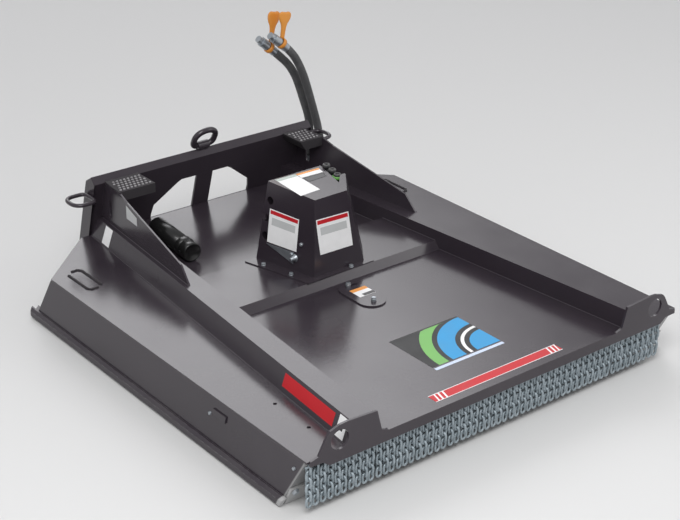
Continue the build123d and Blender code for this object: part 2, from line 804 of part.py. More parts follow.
def make_mount_plate():
    face_plane = Plane(
        origin=(0, MOUNT_FOOT_Y, 0),
        x_dir=(1, 0, 0),
        z_dir=(0, -1, -MOUNT_LEAN),
    )
    half = [
        (mount_edge(BEAM_LOW), BEAM_LOW),
        (mount_edge(0), 0),
        (mount_edge(MOUNT_BOTTOM), MOUNT_BOTTOM),
    ]
    outline = [on_mount(x, z) for x, z in half]
    outline += [on_mount(-x, z) for x, z in reversed(half)]
    plate = sheet_on(face_plane, outline, -MOUNT_SHEET)
    for side in (-1, 1):
        window = [on_mount(side * x, z) for x, z in WINDOW_CORNERS]
        plate -= sheet_on(face_plane, window, -MOUNT_SHEET)
    return plate


# Sill: the flange at the mount's foot, with a slot for each locking wedge
def make_sill():
    sill_plane = Plane(
        origin=(0, mount_front(MOUNT_BOTTOM), MOUNT_BOTTOM),
        x_dir=(1, 0, 0),
        z_dir=(0, -MOUNT_LEAN, 1),
    )
    depth = SILL_DEPTH + MOUNT_SHEET
    flange = Pos(0, depth / 2) * Rectangle(2 * MOUNT_HALF_FOOT, depth)
    slot_y = MOUNT_SHEET + SILL_DEPTH / 2
    slot_x = POCKET_WIDTH / 2 - LOCK_SLOT_INSET
    for side in (-1, 1):
        flange -= Pos(side * slot_x, slot_y) * SlotOverall(LOCK_SLOT_LENGTH, LOCK_SLOT_WIDTH)
    return extrude(sill_plane * flange, -MOUNT_SHEET)


# End plate that closes each side of the pocket for the machine's plate
def make_mount_end():
    top = BEAM_CREST_Z - HOOK_REACH - END_TOP_GAP
    outline = [
        (mount_rear(top), top),
        (mount_rear(top) + END_TOP_DEPTH, top),
        (mount_rear(BEAM_LOW) + END_DEPTH, BEAM_LOW),
        (mount_rear(MOUNT_BOTTOM + END_SHEET) + END_DEPTH, MOUNT_BOTTOM + SILL_DEPTH),
        (mount_rear(MOUNT_BOTTOM + SILL_DEPTH), MOUNT_BOTTOM + SILL_DEPTH),
    ]
    return along_x(outline, POCKET_WIDTH / 2, POCKET_WIDTH / 2 + END_SHEET)


# Gusset standing on each rail, with a narrow grip slot under the step
def make_gusset():
    plane = Plane(origin=(GUSSET_X, 0, 0), x_dir=(-RAIL_SPLAY, 1, 0), z_dir=(1, RAIL_SPLAY, 0))
    stretch = sqrt(1 + RAIL_SPLAY ** 2)
    top = STEP_TOP - STEP_SHEET
    outline = [
        (GUSSET_FOOT_Y, RAIL_HEIGHT),
        (GUSSET_NOSE_Y, GUSSET_NOSE_Z),
        (GUSSET_KNEE_Y, GUSSET_KNEE_Z),
        (STEP_FRONT_Y, top),
        (mount_front(top), top),
        (mount_front(RAIL_HEIGHT), RAIL_HEIGHT),
    ]
    gusset = sheet_on(plane, [(y * stretch, z) for y, z in outline], -GUSSET_SHEET)
    slot = SlotOverall(GRIP_SLOT_HEIGHT, GRIP_SLOT_WIDTH, rotation=90)
    return gusset - extrude(plane * Pos(GRIP_SLOT_Y * stretch, GRIP_SLOT_Z) * slot, -GUSSET_SHEET)


# Step: a tread on the gusset with a flange at its front and one at its inner side
STEPS = [
    # side, inner edge of the tread, inner edge at the flange's foot
    ("left", 383, 383),
    ("right", 433, 458),
]


def make_step(inner, inner_foot):
    rear = mount_front(STEP_TOP)
    under = STEP_TOP - STEP_SHEET
    foot = STEP_TOP - STEP_FLANGE
    flange_outer = gusset_outer(STEP_FRONT_Y) - GUSSET_SHEET - STEP_SEAM
    plan = [
        (gusset_outer(STEP_FRONT_Y), STEP_FRONT_Y),
        (gusset_outer(rear), rear),
        (inner, rear),
        (inner, STEP_FRONT_Y),
    ]
    front_view = [
        (inner, under),
        (inner_foot, foot),
        (flange_outer, foot),
        (flange_outer, under),
    ]
    side_view = [
        (inner, under),
        (inner_foot, foot),
        (inner_foot + STEP_SHEET, foot),
        (inner + STEP_SHEET, under),
    ]
    ahead_of_mount = [
        (0, 0),
        (0, STEP_TOP),
        (mount_front(STEP_TOP), STEP_TOP),
        (mount_front(0), 0),
    ]
    step = along_z(plan, under, STEP_TOP)
    step += along_y(front_view, STEP_FRONT_Y, STEP_FRONT_Y + STEP_SHEET)
    step += along_y(side_view, STEP_FRONT_Y, MOUNT_FOOT_Y)
    return step & along_x(ahead_of_mount, 0, DECK_HALF_WIDTH)


# Clip: a sleeve on the beam's crest for the lift ring's straight side
def clip_centre():
    return (BEAM_CREST_Y, BEAM_CREST_Z + CLIP_RISE)


def make_clip():
    y, z = clip_centre()
    half = CLIP_LENGTH / 2
    sleeve = Plane.YZ.offset(LIFT_X - half) * Pos(y, z) * Circle(CLIP_R)
    clip = extrude(sleeve, CLIP_LENGTH)
    path = [
        (BEAM_CREST_Y + HOOK_REACH, BEAM_CREST_Z - HOOK_REACH),
        (BEAM_CREST_Y, BEAM_CREST_Z),
        (mount_front(BEAM_BEND), BEAM_BEND),
        (mount_front(BEAM_LOW), BEAM_LOW),
        (DECK_LENGTH, 0),
    ]
    clip -= along_x(path, -DECK_HALF_WIDTH, DECK_HALF_WIDTH)
    bore = Plane.YZ.offset(LIFT_X - half) * Pos(y, z) * Circle(LIFT_ROD_R + CLIP_CLEARANCE)
    return clip - extrude(bore, CLIP_LENGTH)


# Lift ring: a round ring with one straight side, leaning forward in its clip
def make_lift_ring():
    small = LIFT_BEND_R
    reach = LIFT_RING_R - small
    half = sqrt(reach ** 2 - (LIFT_CENTRE - small) ** 2)
    joint_x = LIFT_RING_R * half / reach
    joint_y = LIFT_CENTRE + LIFT_RING_R * (small - LIFT_CENTRE) / reach
    bend = atan2(joint_y - small, joint_x - half)
    middle = (bend - radians(90)) / 2
    mid_x = half + small * cos(middle)
    mid_y = small + small * sin(middle)
    path = Wire([
        Line((-half, 0), (half, 0)),
        ThreePointArc((half, 0), (mid_x, mid_y), (joint_x, joint_y)),
        ThreePointArc((joint_x, joint_y), (0, LIFT_CENTRE + LIFT_RING_R), (-joint_x, joint_y)),
        ThreePointArc((-joint_x, joint_y), (-mid_x, mid_y), (-half, 0)),
    ])
    y, z = clip_centre()
    ring = sweep(Plane.YZ * Circle(LIFT_ROD_R), path=path)
    return Pos(LIFT_X, y, z) * Rot(90 + LIFT_LEAN, 0, 0) * ring


# Tie loop: a bent rod that clasps the mount's outer edge
def make_tie_loop():
    middle = (mount_front(LOOP_Z) + mount_rear(LOOP_Z)) / 2
    grip = (mount_rear(LOOP_Z) - mount_front(LOOP_Z)) / 2 + (LOOP_ROD_R + SEAT_CLEARANCE) * MOUNT_STRETCH
    edge = mount_edge(LOOP_Z)
    one_side = [
        (edge - LOOP_GRIP, -grip),
        (edge, -grip),
        (edge + LOOP_FLARE, -LOOP_HALF),
        (edge + LOOP_REACH, -LOOP_HALF),
    ]
    radii = [LOOP_NECK_R, LOOP_SHOULDER_R, LOOP_END_R]
    route = one_side + [(x, -y) for x, y in reversed(one_side)]
    path = FilletPolyline(*route, radius=radii + radii[::-1])
    start = Plane(origin=route[0], z_dir=path % 0)
    return Pos(0, middle, LOOP_Z) * sweep(start * Circle(LOOP_ROD_R), path=path)


# Manual tube with its clamps, and its screw cap
def tube_axis():
    """The tube's rear end and its direction towards the front."""
    half_run = RAIL_SPLAY * TUBE_LENGTH / 2
    rear = Vector(TUBE_X + half_run, TUBE_REAR_Y, CAP_R)
    front = Vector(TUBE_X - half_run, TUBE_REAR_Y - TUBE_LENGTH, CAP_R)
    return Plane(origin=rear, z_dir=front - rear), (front - rear).length


def make_tube():
    axis, length = tube_axis()
    body = extrude(axis * Circle(TUBE_R), length - CAP_LENGTH / 2)
    bore = extrude(axis.offset(2 * TUBE_WALL) * Circle(TUBE_R - TUBE_WALL), length)
    tube = body - bore
    for place in TUBE_CLAMPS:
        clamp_plane = axis.offset(place - TUBE_CLAMP_WIDTH / 2)
        band_r = TUBE_R + TUBE_CLAMP_SHEET
        tube += extrude(clamp_plane * (Circle(band_r) - Circle(TUBE_R)), TUBE_CLAMP_WIDTH)
    return tube


def make_tube_cap():
    axis, length = tube_axis()
    cap = extrude(axis.offset(length - CAP_LENGTH) * Circle(CAP_R), CAP_LENGTH)
    seat = extrude(axis.offset(length - CAP_LENGTH) * Circle(TUBE_R), CAP_LENGTH / 2)
    return cap - seat


# Hoses: each rises from its fitting on the bracket and ends in a quick coupler
HOSES = {
    # y of the hose's plane, then x and z of its route's points in that plane
    "pressure": (2185, [
        (712, 55), (710, 150), (692, 253),
        (648, 377), (620, 455), (595, 515),
        (568, 565), (534, 608), (502, 636),
    ]),
    "return": (2135, [
        (752, 90), (750, 180), (734, 273),
        (698, 400), (670, 485), (645, 542),
        (613, 590), (577, 630), (538, 662),
    ]),
}
CAP_STEMS = {
    # x and z of the stem's top
    "pressure": (512, 823),
    "return": (536, 841),
}


def hose_bends(points):
    """The radius at each corner of a hose's route."""
    radii = []
    for before, here, after in zip(points, points[1:], points[2:]):
        run_in = Vector(*here) - Vector(*before)
        run_out = Vector(*after) - Vector(*here)
        half_turn = radians(run_in.get_angle(run_out)) / 2
        radii.append(HOSE_BEND_SHARE * min(run_in.length, run_out.length) / tan(half_turn))
    return radii


def hose_start(name):
    """The plane at a hose's foot, facing along the hose."""
    y, route = HOSES[name]
    (x1, z1), (x2, z2) = route[:2]
    return Plane(origin=(x1, y, z1), x_dir=(0, 1, 0), z_dir=(x2 - x1, 0, z2 - z1))


def make_hose(name):
    y, route = HOSES[name]
    points = [(x, y, z) for x, z in route]
    radii = hose_bends(points)
    print(name, "hose radii", [round(radius) for radius in radii])
    path = FilletPolyline(*points, radius=radii)
    hose = sweep(hose_start(name) * Circle(HOSE_R), path=path)
    print(name, "hose length", round(path.length), "volume ratio",
          round(hose.volume / (path.length * pi * HOSE_R ** 2), 4))
    return hose


def hose_end(name):
    """The plane at a hose's end, facing along the coupler."""
    y, route = HOSES[name]
    (x1, z1), (x2, z2) = route[-2:]
    return Plane(origin=(x2, y, z2), x_dir=(0, 1, 0), z_dir=(x2 - x1, 0, z2 - z1))


def make_coupler(name):
    end = hose_end(name)
    steps = []
    for start, stop, radius in COUPLER_STEPS:
        steps.append(extrude(end.offset(start) * Circle(radius), stop - start))
    return steps[0].fuse(*steps[1:])


# Dust cap: a band in the coupler's groove, a stem and a flared head
def make_dust_cap(name):
    end = hose_end(name)
    band_start, groove_end, groove_r = COUPLER_STEPS[1]
    top_x, top_z = CAP_STEMS[name]
    foot = end.offset(band_start + CAP_BAND / 2).origin
    top = Vector(top_x, HOSES[name][0], top_z)
    height = (top - foot).length
    stem = Plane(origin=foot, x_dir=(0, 1, 0), z_dir=top - foot)
    rod = extrude(stem * Circle(CAP_STEM_R), height - CAP_HEAD_OVERLAP)
    neck = stem.offset(height - CAP_HEAD) * Rectangle(*CAP_NECK)
    flare = stem.offset(height) * Rectangle(*CAP_FLARE)
    cap = rod + loft([neck, flare]) - extrude(end * Circle(COUPLER_R + SEAT_CLEARANCE), COUPLER_LENGTH)
    band = Circle(COUPLER_R + CAP_BAND_WALL) - Circle(groove_r)
    return cap + extrude(end.offset(band_start) * band, CAP_BAND)


# Bracket on the mount's machine side, with the two hose fittings standing on it
def rear_edge():
    """The y of the rearmost rigid edge, at the sill."""
    return mount_front(MOUNT_BOTTOM) + (SILL_DEPTH + MOUNT_SHEET) / MOUNT_STRETCH


def make_hose_bracket():
    seat = mount_rear(BRACKET_Z - BRACKET_SHEET)
    shelf = [
        (BRACKET_LEFT_X, seat),
        (BRACKET_LEFT_X, rear_edge()),
        (BRACKET_RIGHT_X, rear_edge()),
        (BRACKET_RIGHT_X, BRACKET_FRONT_Y),
        (MOUNT_HALF_FOOT + MOUNT_SHEET, BRACKET_FRONT_Y),
        (MOUNT_HALF_FOOT + MOUNT_SHEET, seat),
    ]
    return along_z(shelf, BRACKET_Z - BRACKET_SHEET, BRACKET_Z)


def make_fittings():
    fittings = []
    for name in HOSES:
        foot = hose_start(name)
        x, y, height = foot.origin.X, foot.origin.Y, foot.origin.Z - BRACKET_Z
        above = Pos(x, y, BRACKET_Z + height) * Box(4 * HOSE_R, 4 * HOSE_R, 2 * height)
        nut = Plane((x, y, BRACKET_Z)) * RegularPolygon(FITTING_R, 6)
        tail = extrude(foot * Circle(HOSE_R), -2 * height) & above
        fittings.append(tail + extrude(nut, FITTING_NUT))
    return Compound(children=fittings)


pieces["deck_plate"] = make_deck()
both_sides("side_skirt", make_side_skirt())
both_sides("corner_skirt", make_corner_skirt())
both_sides("runner", make_runner())
both_sides("rail", make_rail())
pieces["front_plate"] = make_front_plate()
pieces["front_chains"] = make_chains(
    CHAIN_LEFT_GAP - DECK_HALF_WIDTH,
    DECK_HALF_WIDTH - CHAIN_RIGHT_GAP,
    CHAIN_PITCH_X,
    0,
    CHAIN_TOP,
)
pieces["rear_chains"] = make_chains(
    REAR_CHAIN_GAP - CORNER_CUT_X,
    CORNER_CUT_X - REAR_CHAIN_GAP,
    REAR_CHAIN_PITCH_X,
    DECK_LENGTH - REAR_CHAIN_INSET,
    DECK_UNDER - CHAIN_BAR_HEIGHT,
)
pieces["motor_platform"] = make_platform()
pieces["motor_cover"] = make_cover()
pieces["hydraulic_motor"] = make_motor()
pieces["spindle_housing"] = make_housing()
pieces["blade_carrier"] = make_carrier()
pieces["blade_bolts"] = make_blade_bolts()
for number in range(BLADE_COUNT):
    pieces["blade_" + str(number + 1)] = make_blade(-90 + 360 * number / BLADE_COUNT)
pieces["access_cover"] = make_access_cover()
pieces["access_bolts"] = make_access_bolts()
pieces["mount_beam"] = make_beam()
pieces["mount_plate"] = make_mount_plate()
pieces["mount_sill"] = make_sill()
both_sides("mount_end", make_mount_end())
both_sides("gusset", make_gusset())
for side, inner, inner_foot in STEPS:
    step = make_step(inner, inner_foot)
    pieces[side + "_step"] = step if side == "right" else mirrored(step)
pieces["ring_clip"] = make_clip()
pieces["lift_ring"] = make_lift_ring()
both_sides("tie_loop", make_tie_loop())
pieces["manual_tube"] = make_tube()
pieces["tube_cap"] = make_tube_cap()
pieces["hose_bracket"] = make_hose_bracket()
pieces["hose_fittings"] = make_fittings()
for name in HOSES:
    pieces[name + "_hose"] = make_hose(name)
    pieces[name + "_coupler"] = make_coupler(name)
    pieces[name + "_cap"] = make_dust_cap(name)

# The origin goes on the ground, under the middle of the rigid machine
MIDDLE_Y = (rear_edge() - FRONT_SHEET) / 2
placed = Pos(0, -MIDDLE_Y, DECK_TOP)
print("middle y", round(MIDDLE_Y, 3))
os.makedirs("parts", exist_ok=True)
for node, solid in pieces.items():
    export_step(placed * solid, "parts/" + node + ".step")
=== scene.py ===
import json
import random
from math import cos, pi, radians, sin, sqrt

import bmesh
import bpy
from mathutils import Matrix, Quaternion, Vector


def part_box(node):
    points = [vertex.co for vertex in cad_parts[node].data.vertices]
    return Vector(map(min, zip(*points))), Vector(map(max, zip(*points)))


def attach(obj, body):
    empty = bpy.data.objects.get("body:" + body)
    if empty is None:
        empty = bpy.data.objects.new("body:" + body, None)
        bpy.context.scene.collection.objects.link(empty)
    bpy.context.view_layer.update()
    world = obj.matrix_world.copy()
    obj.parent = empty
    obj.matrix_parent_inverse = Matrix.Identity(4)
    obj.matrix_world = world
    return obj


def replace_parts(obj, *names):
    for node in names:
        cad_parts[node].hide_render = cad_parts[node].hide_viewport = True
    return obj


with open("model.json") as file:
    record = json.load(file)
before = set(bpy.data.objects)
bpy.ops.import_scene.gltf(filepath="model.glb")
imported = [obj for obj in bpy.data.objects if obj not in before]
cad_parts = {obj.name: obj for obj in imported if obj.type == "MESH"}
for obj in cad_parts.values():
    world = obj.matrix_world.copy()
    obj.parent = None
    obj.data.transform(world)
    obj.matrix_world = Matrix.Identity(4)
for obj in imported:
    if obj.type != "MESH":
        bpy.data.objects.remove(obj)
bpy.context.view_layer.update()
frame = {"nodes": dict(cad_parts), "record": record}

# Points are given as on the drawing: millimetres, x to the right, y back from the deck's
# front edge and z up from the deck's top
MM = 0.001
DECK_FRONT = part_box("deck_plate")[0].y
DECK_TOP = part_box("deck_plate")[1].z


def at(x, y, z):
    """A point of the drawing as a point of the scene."""
    return Vector((x * MM, y * MM + DECK_FRONT, z * MM + DECK_TOP))


# Sizes shared with the part
DECK_HALF_WIDTH = 965
RAIL_INNER_X = 656
RAIL_SPLAY = 0.0895
RAIL_TOP_WIDTH = 100
RAIL_SLOPE_WIDTH = 32
RAIL_HEIGHT = 86
GUSSET_X = 736
GUSSET_FOOT_Y = 1255
SKIRT_FLARE = 0.1
MOUNT_FOOT_Y = 2112
MOUNT_LEAN = 0.30
SPINDLE_Y = 1165
PLATFORM_TOP = 35
COVER_TOP = 400
COVER_FOOT_Z = PLATFORM_TOP


def rail_inner(y):
    return RAIL_INNER_X - RAIL_SPLAY * y


def rail_foot(y):
    return rail_inner(y) + RAIL_TOP_WIDTH + RAIL_SLOPE_WIDTH


def gusset_outer(y):
    return GUSSET_X - RAIL_SPLAY * y


def skirt_outer(z):
    return DECK_HALF_WIDTH - SKIRT_FLARE * (z + 8)


def mount_front(z):
    return MOUNT_FOOT_Y - MOUNT_LEAN * z


# Camera at the photograph's angle
CAMERA_PLACE = at(-3737.9, -3652.3, 2986.3)
CAMERA_TARGET = at(140.3, 1209.4, 0)
CAMERA_ROLL = radians(0.5)
CAMERA_LENS = 82.54
CAMERA_SENSOR = 36

camera_data = bpy.data.cameras.new("photo_camera")
camera_data.lens = CAMERA_LENS
camera_data.sensor_width = CAMERA_SENSOR
camera_data.clip_end = 100
camera = bpy.data.objects.new("photo_camera", camera_data)
bpy.context.scene.collection.objects.link(camera)
camera.location = CAMERA_PLACE
camera.rotation_mode = "QUATERNION"
looking = (CAMERA_TARGET - CAMERA_PLACE).to_track_quat("-Z", "Y")
camera.rotation_quaternion = looking @ Quaternion((0, 0, 1), CAMERA_ROLL)
bpy.context.scene.camera = camera


# Meshes
def as_object(name, mesh):
    obj = bpy.data.objects.new(name, mesh)
    bpy.context.scene.collection.objects.link(obj)
    return obj


def tube_rings(points, radius, sides):
    """Rings of points round a line, without twist, as (points, distance along)."""
    rings = []
    side = None
    run = 0.0
    for i, here in enumerate(points):
        before = points[max(i - 1, 0)]
        after = points[min(i + 1, len(points) - 1)]
        way = (after - before).normalized()
        if side is None:
            side = way.orthogonal().normalized()
        side = (side - way * side.dot(way)).normalized()
        up = way.cross(side)
        run += (here - before).length
        ring = []
        for k in range(sides):
            turn = 2 * pi * k / sides
            ring.append(here + radius * (cos(turn) * side + sin(turn) * up))
        rings.append((ring, run))
    return rings


class Builder:
    """Collects many small closed forms in one mesh."""

    def __init__(self):
        self.points = []
        self.faces = []
        self.smooth = []
        self.material = []

    def add(self, points, faces, smooth=False, material=0):
        first = len(self.points)
        self.points += [Vector(p) for p in points]
        self.faces += [[first + i for i in face] for face in faces]
        self.smooth += [smooth] * len(faces)
        self.material += [material] * len(faces)

    def rings(self, rings, closed=False, smooth=True, material=0):
        """Joins rings of equal size, with caps unless the rings close on themselves."""
        sides = len(rings[0])
        count = len(rings)
        faces = []
        for i in range(count if closed else count - 1):
            a = i * sides
            b = (i + 1) % count * sides
            for k in range(sides):
                faces.append([a + k, a + (k + 1) % sides, b + (k + 1) % sides, b + k])
        if not closed:
            faces.append(list(range(sides))[::-1])
            faces.append([(count - 1) * sides + k for k in range(sides)])
        self.add([p for ring in rings for p in ring], faces, smooth, material)

    def turned(self, place, axis, profile, sides, smooth=True, material=0):
        """A turned form from (radius, height) pairs in millimetres along an axis."""
        axis = Vector(axis).normalized()
        side = axis.orthogonal().normalized()
        up = axis.cross(side)
        rings = []
        for radius, height in profile:
            centre = place + axis * height * MM
            ring = []
            for k in range(sides):
                turn = 2 * pi * k / sides
                ring.append(centre + radius * MM * (cos(turn) * side + sin(turn) * up))
            rings.append(ring)
        self.rings(rings, smooth=smooth, material=material)

    def hoop(self, place, axis, loop, sides):
        """A ring: a closed loop of (radius, height) pairs turned round an axis."""
        axis = Vector(axis).normalized()
        side = axis.orthogonal().normalized()
        up = axis.cross(side)
        rings = []
        for k in range(sides):
            turn = 2 * pi * k / sides
            out = cos(turn) * side + sin(turn) * up
            rings.append([place + (out * radius + axis * height) * MM for radius, height in loop])
        self.rings(rings, closed=True)

    def closed_bar(self, centre, across, up, line, radii, sides):
        """A bent bar closed on itself: its middle line is (across, up) pairs in one plane."""
        through = across.cross(up)
        rings = []
        for i, (a, b) in enumerate(line):
            way = (Vector(line[(i + 1) % len(line)]) - Vector(line[i - 1])).normalized()
            out = across * way.y - up * way.x
            middle = centre + (across * a + up * b) * MM
            ring = []
            for k in range(sides):
                turn = 2 * pi * k / sides
                ring.append(middle + radii[i] * MM * (cos(turn) * out + sin(turn) * through))
            rings.append(ring)
        self.rings(rings, closed=True)

    def bolt(self, place, axis, across, height):
        """A hexagon head with a chamfered top on a washer."""
        radius = across / sqrt(3)
        washer = 0.16 * across
        self.turned(place, axis, [(0.62 * across, 0), (0.62 * across, 0.6 * washer),
                                  (0.56 * across, washer)], 20)
        top = Vector(axis).normalized() * washer * MM
        self.turned(place + top, axis, [(radius, 0), (radius, 0.82 * height), (0.84 * radius, height)],
                    6, smooth=False)

    def prism(self, outline, rise, material=0):
        """A closed slab from a loop of scene points and the vector to its other face."""
        count = len(outline)
        faces = [list(range(count))[::-1], [count + k for k in range(count)]]
        for k in range(count):
            faces.append([k, (k + 1) % count, count + (k + 1) % count, count + k])
        self.add(list(outline) + [p + rise for p in outline], faces, False, material)

    def finish(self, name, materials, body="machine"):
        mesh = bpy.data.meshes.new(name)
        mesh.from_pydata([tuple(p) for p in self.points], [], self.faces)
        work = bmesh.new()
        work.from_mesh(mesh)
        bmesh.ops.recalc_face_normals(work, faces=work.faces[:])
        work.to_mesh(mesh)
        work.free()
        mesh.polygons.foreach_set("use_smooth", self.smooth)
        mesh.polygons.foreach_set("material_index", self.material)
        for material in materials:
            mesh.materials.append(material)
        mesh.update()
        obj = as_object(name, mesh)
        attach(obj, body)
        return obj


# Hoses with their dust caps, first of all the pieces. Each route repeats the part's own points,
# x and z in one plane, and the radius is the sleeve's
HOSE_RADIUS = 20
HOSE_SIDES = 20
HOSES = {
    # length in metres, y of the plane, then x and z of the route
    "pressure": (0.633, 2185, [
        (712, 55), (718, 150), (712, 253),
        (676, 357), (651, 432), (624, 498),
        (588, 554), (542, 600), (502, 636),
    ]),
    "return": (0.629, 2135, [
        (752, 90), (740, 170), (718, 260),
        (690, 350), (664, 435), (640, 505),
        (611, 568), (577, 624), (538, 662),
    ]),
}
COUPLER_RADIUS = 23
CAP_BAND = 20
CAP_BAND_START = 30
CAP_SIDES = 24
CAP_NOTCH = 7
CAP_NOTCH_FROM = 0.9
CAP_NOTCH_HALF_WIDTH = 14
CAP_BORE = 19.2
CAP_WALL = 4.5
CAP_ROUND = 2.5
CAP_TOPS = {
    # foot along the coupler, then x and z of the top
    "pressure": (34, 506, 838),
    "return": (40, 534, 843),
}
CAP_PROFILE = [
    # share of the height, half width, half thickness
    (0.00, 10, 8), (0.10, 11, 8), (0.30, 12, 8), (0.45, 14, 8), (0.56, 19, 8), (0.66, 28, 8),
    (0.75, 34, 7.5), (0.83, 36, 7), (0.90, 35, 6.5), (0.955, 30, 5.5), (0.985, 22, 3.5), (1.0, 8, 1),
]


def smooth_line(name, points):
    """Points along the smooth curve of a route."""
    curve = bpy.data.curves.new(name, "CURVE")
    curve.dimensions = "3D"
    curve.resolution_u = 10
    spline = curve.splines.new("NURBS")
    spline.points.add(len(points) - 1)
    for point, place in zip(spline.points, points):
        point.co = (*place, 1)
    spline.order_u = 3
    spline.use_endpoint_u = True
    route = as_object(name, curve)
    bpy.context.view_layer.update()
    line = bpy.data.meshes.new_from_object(route)
    found = [v.co.copy() for v in line.vertices]
    bpy.data.objects.remove(route)
    bpy.data.meshes.remove(line)
    return found


def make_hose(name):
    """A hose as a round tube with a map along and round it for its sleeve."""
    length, y, route = HOSES[name]
    path = smooth_line(name + "_route", [at(x, y, z) for x, z in route])
    rings = tube_rings(path, HOSE_RADIUS * MM, HOSE_SIDES)
    work = bmesh.new()
    uv = work.loops.layers.uv.new("UVMap")
    rows = [[work.verts.new(p) for p in ring] for ring, run in rings]
    for (low, high), (low_run, high_run) in zip(zip(rows, rows[1:]), zip(rings, rings[1:])):
        for k in range(HOSE_SIDES):
            after = (k + 1) % HOSE_SIDES
            face = work.faces.new([low[k], low[after], high[after], high[k]])
            face.smooth = True
            spans = [(k, low_run[1]), (k + 1, low_run[1]), (k + 1, high_run[1]), (k, high_run[1])]
            for loop, (round_at, run) in zip(face.loops, spans):
                loop[uv].uv = (round_at / HOSE_SIDES, run)
    work.faces.new(rows[0][::-1])
    work.faces.new(rows[-1])
    bmesh.ops.recalc_face_normals(work, faces=work.faces[:])
    mesh = bpy.data.meshes.new(name + "_sleeve")
    work.to_mesh(mesh)
    work.free()
    hose = as_object(name + "_sleeve", mesh)
    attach(hose, "machine")
    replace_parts(hose, name + "_hose")
    return hose


def make_cap(name):
    """A dust cap: a band in the coupler's groove and a strap that widens to a fish tail."""
    y, route = HOSES[name][1:]
    (x1, z1), (x2, z2) = route[-2:]
    end = at(x2, y, z2)
    along = Vector((x2 - x1, 0, z2 - z1)).normalized()
    cap = Builder()
    band = end + along * CAP_BAND_START * MM
    half = CAP_BAND / 2
    outer = COUPLER_RADIUS + CAP_WALL
    loop = [(CAP_BORE, -half), (outer - CAP_ROUND, -half), (outer, -half + CAP_ROUND),
            (outer, half - CAP_ROUND), (outer - CAP_ROUND, half), (CAP_BORE, half)]
    cap.hoop(band + along * half * MM, along, loop, 32)
    foot_run, top_x, top_z = CAP_TOPS[name]
    foot = end + along * foot_run * MM
    top = at(top_x, y, top_z)
    up = (top - foot).normalized()
    foot += up * (COUPLER_RADIUS - 2) * MM
    across = up.cross(Vector((0, 1, 0))).normalized()
    rings = []
    for share, half_width, half_thick in CAP_PROFILE:
        middle = foot.lerp(top, share)
        ring = []
        for k in range(CAP_SIDES):
            turn = 2 * pi * k / CAP_SIDES
            out = half_width * abs(cos(turn)) ** 0.7 * (1 if cos(turn) > 0 else -1)
            deep = half_thick * abs(sin(turn)) ** 0.8 * (1 if sin(turn) > 0 else -1)
            near_top = max(0, share - CAP_NOTCH_FROM) / (1 - CAP_NOTCH_FROM)
            dip = CAP_NOTCH * near_top * (1 - min(1, abs(out) / CAP_NOTCH_HALF_WIDTH))
            ring.append(middle + (across * out + Vector((0, deep, 0)) - up * dip) * MM)
        rings.append(ring)
    cap.rings(rings)
    piece = cap.finish(name + "_dust_cap", [])
    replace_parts(piece, name + "_cap")
    return piece


caps = {name: make_cap(name) for name in HOSES}
hoses = [make_hose(name) for name in HOSES]


# Effects that several finishes share
def effect_group(name, inputs, outputs):
    """A shader node group with named sockets, its nodes, its links and its two ends."""
    group = bpy.data.node_groups.new(name, "ShaderNodeTree")
    for label, kind, value in inputs:
        socket = group.interface.new_socket(label, in_out="INPUT", socket_type=kind)
        socket.default_value = value
    for label, kind in outputs:
        group.interface.new_socket(label, in_out="OUTPUT", socket_type=kind)
    return group, group.nodes.new("NodeGroupInput"), group.nodes.new("NodeGroupOutput")


def place_node(tree, kind, **values):
    """A node with its properties, and its sockets by name."""
    node = tree.nodes.new(kind)
    for key, value in values.items():
        if hasattr(node, key):
            setattr(node, key, value)
        else:
            node.inputs[key.replace("_", " ")].default_value = value
    return node


def shade(tree, operation, a, b):
    """A maths node on sockets or plain numbers."""
    node = tree.nodes.new("ShaderNodeMath")
    node.operation = operation
    for socket, value in zip(node.inputs, (a, b)):
        if isinstance(value, (int, float)):
            socket.default_value = value
        else:
            tree.links.new(value, socket)
    return node.outputs[0]


def remap(tree, value, low, high, to_low, to_high):
    """A value carried from one range to another and held at its ends."""
    node = tree.nodes.new("ShaderNodeMapRange")
    for key, number in (("From Min", low), ("From Max", high), ("To Min", to_low), ("To Max", to_high)):
        node.inputs[key].default_value = number
    tree.links.new(value, node.inputs["Value"])
    return node.outputs["Result"]


def noise(tree, place, scale, detail, roughness=0.55):
    """Soft noise at a place, with its scale from a number or a socket."""
    node = place_node(tree, "ShaderNodeTexNoise", Detail=detail, Roughness=roughness)
    tree.links.new(place, node.inputs["Vector"])
    if isinstance(scale, (int, float)):
        node.inputs["Scale"].default_value = scale
    else:
        tree.links.new(scale, node.inputs["Scale"])
    return node.outputs["Fac"]


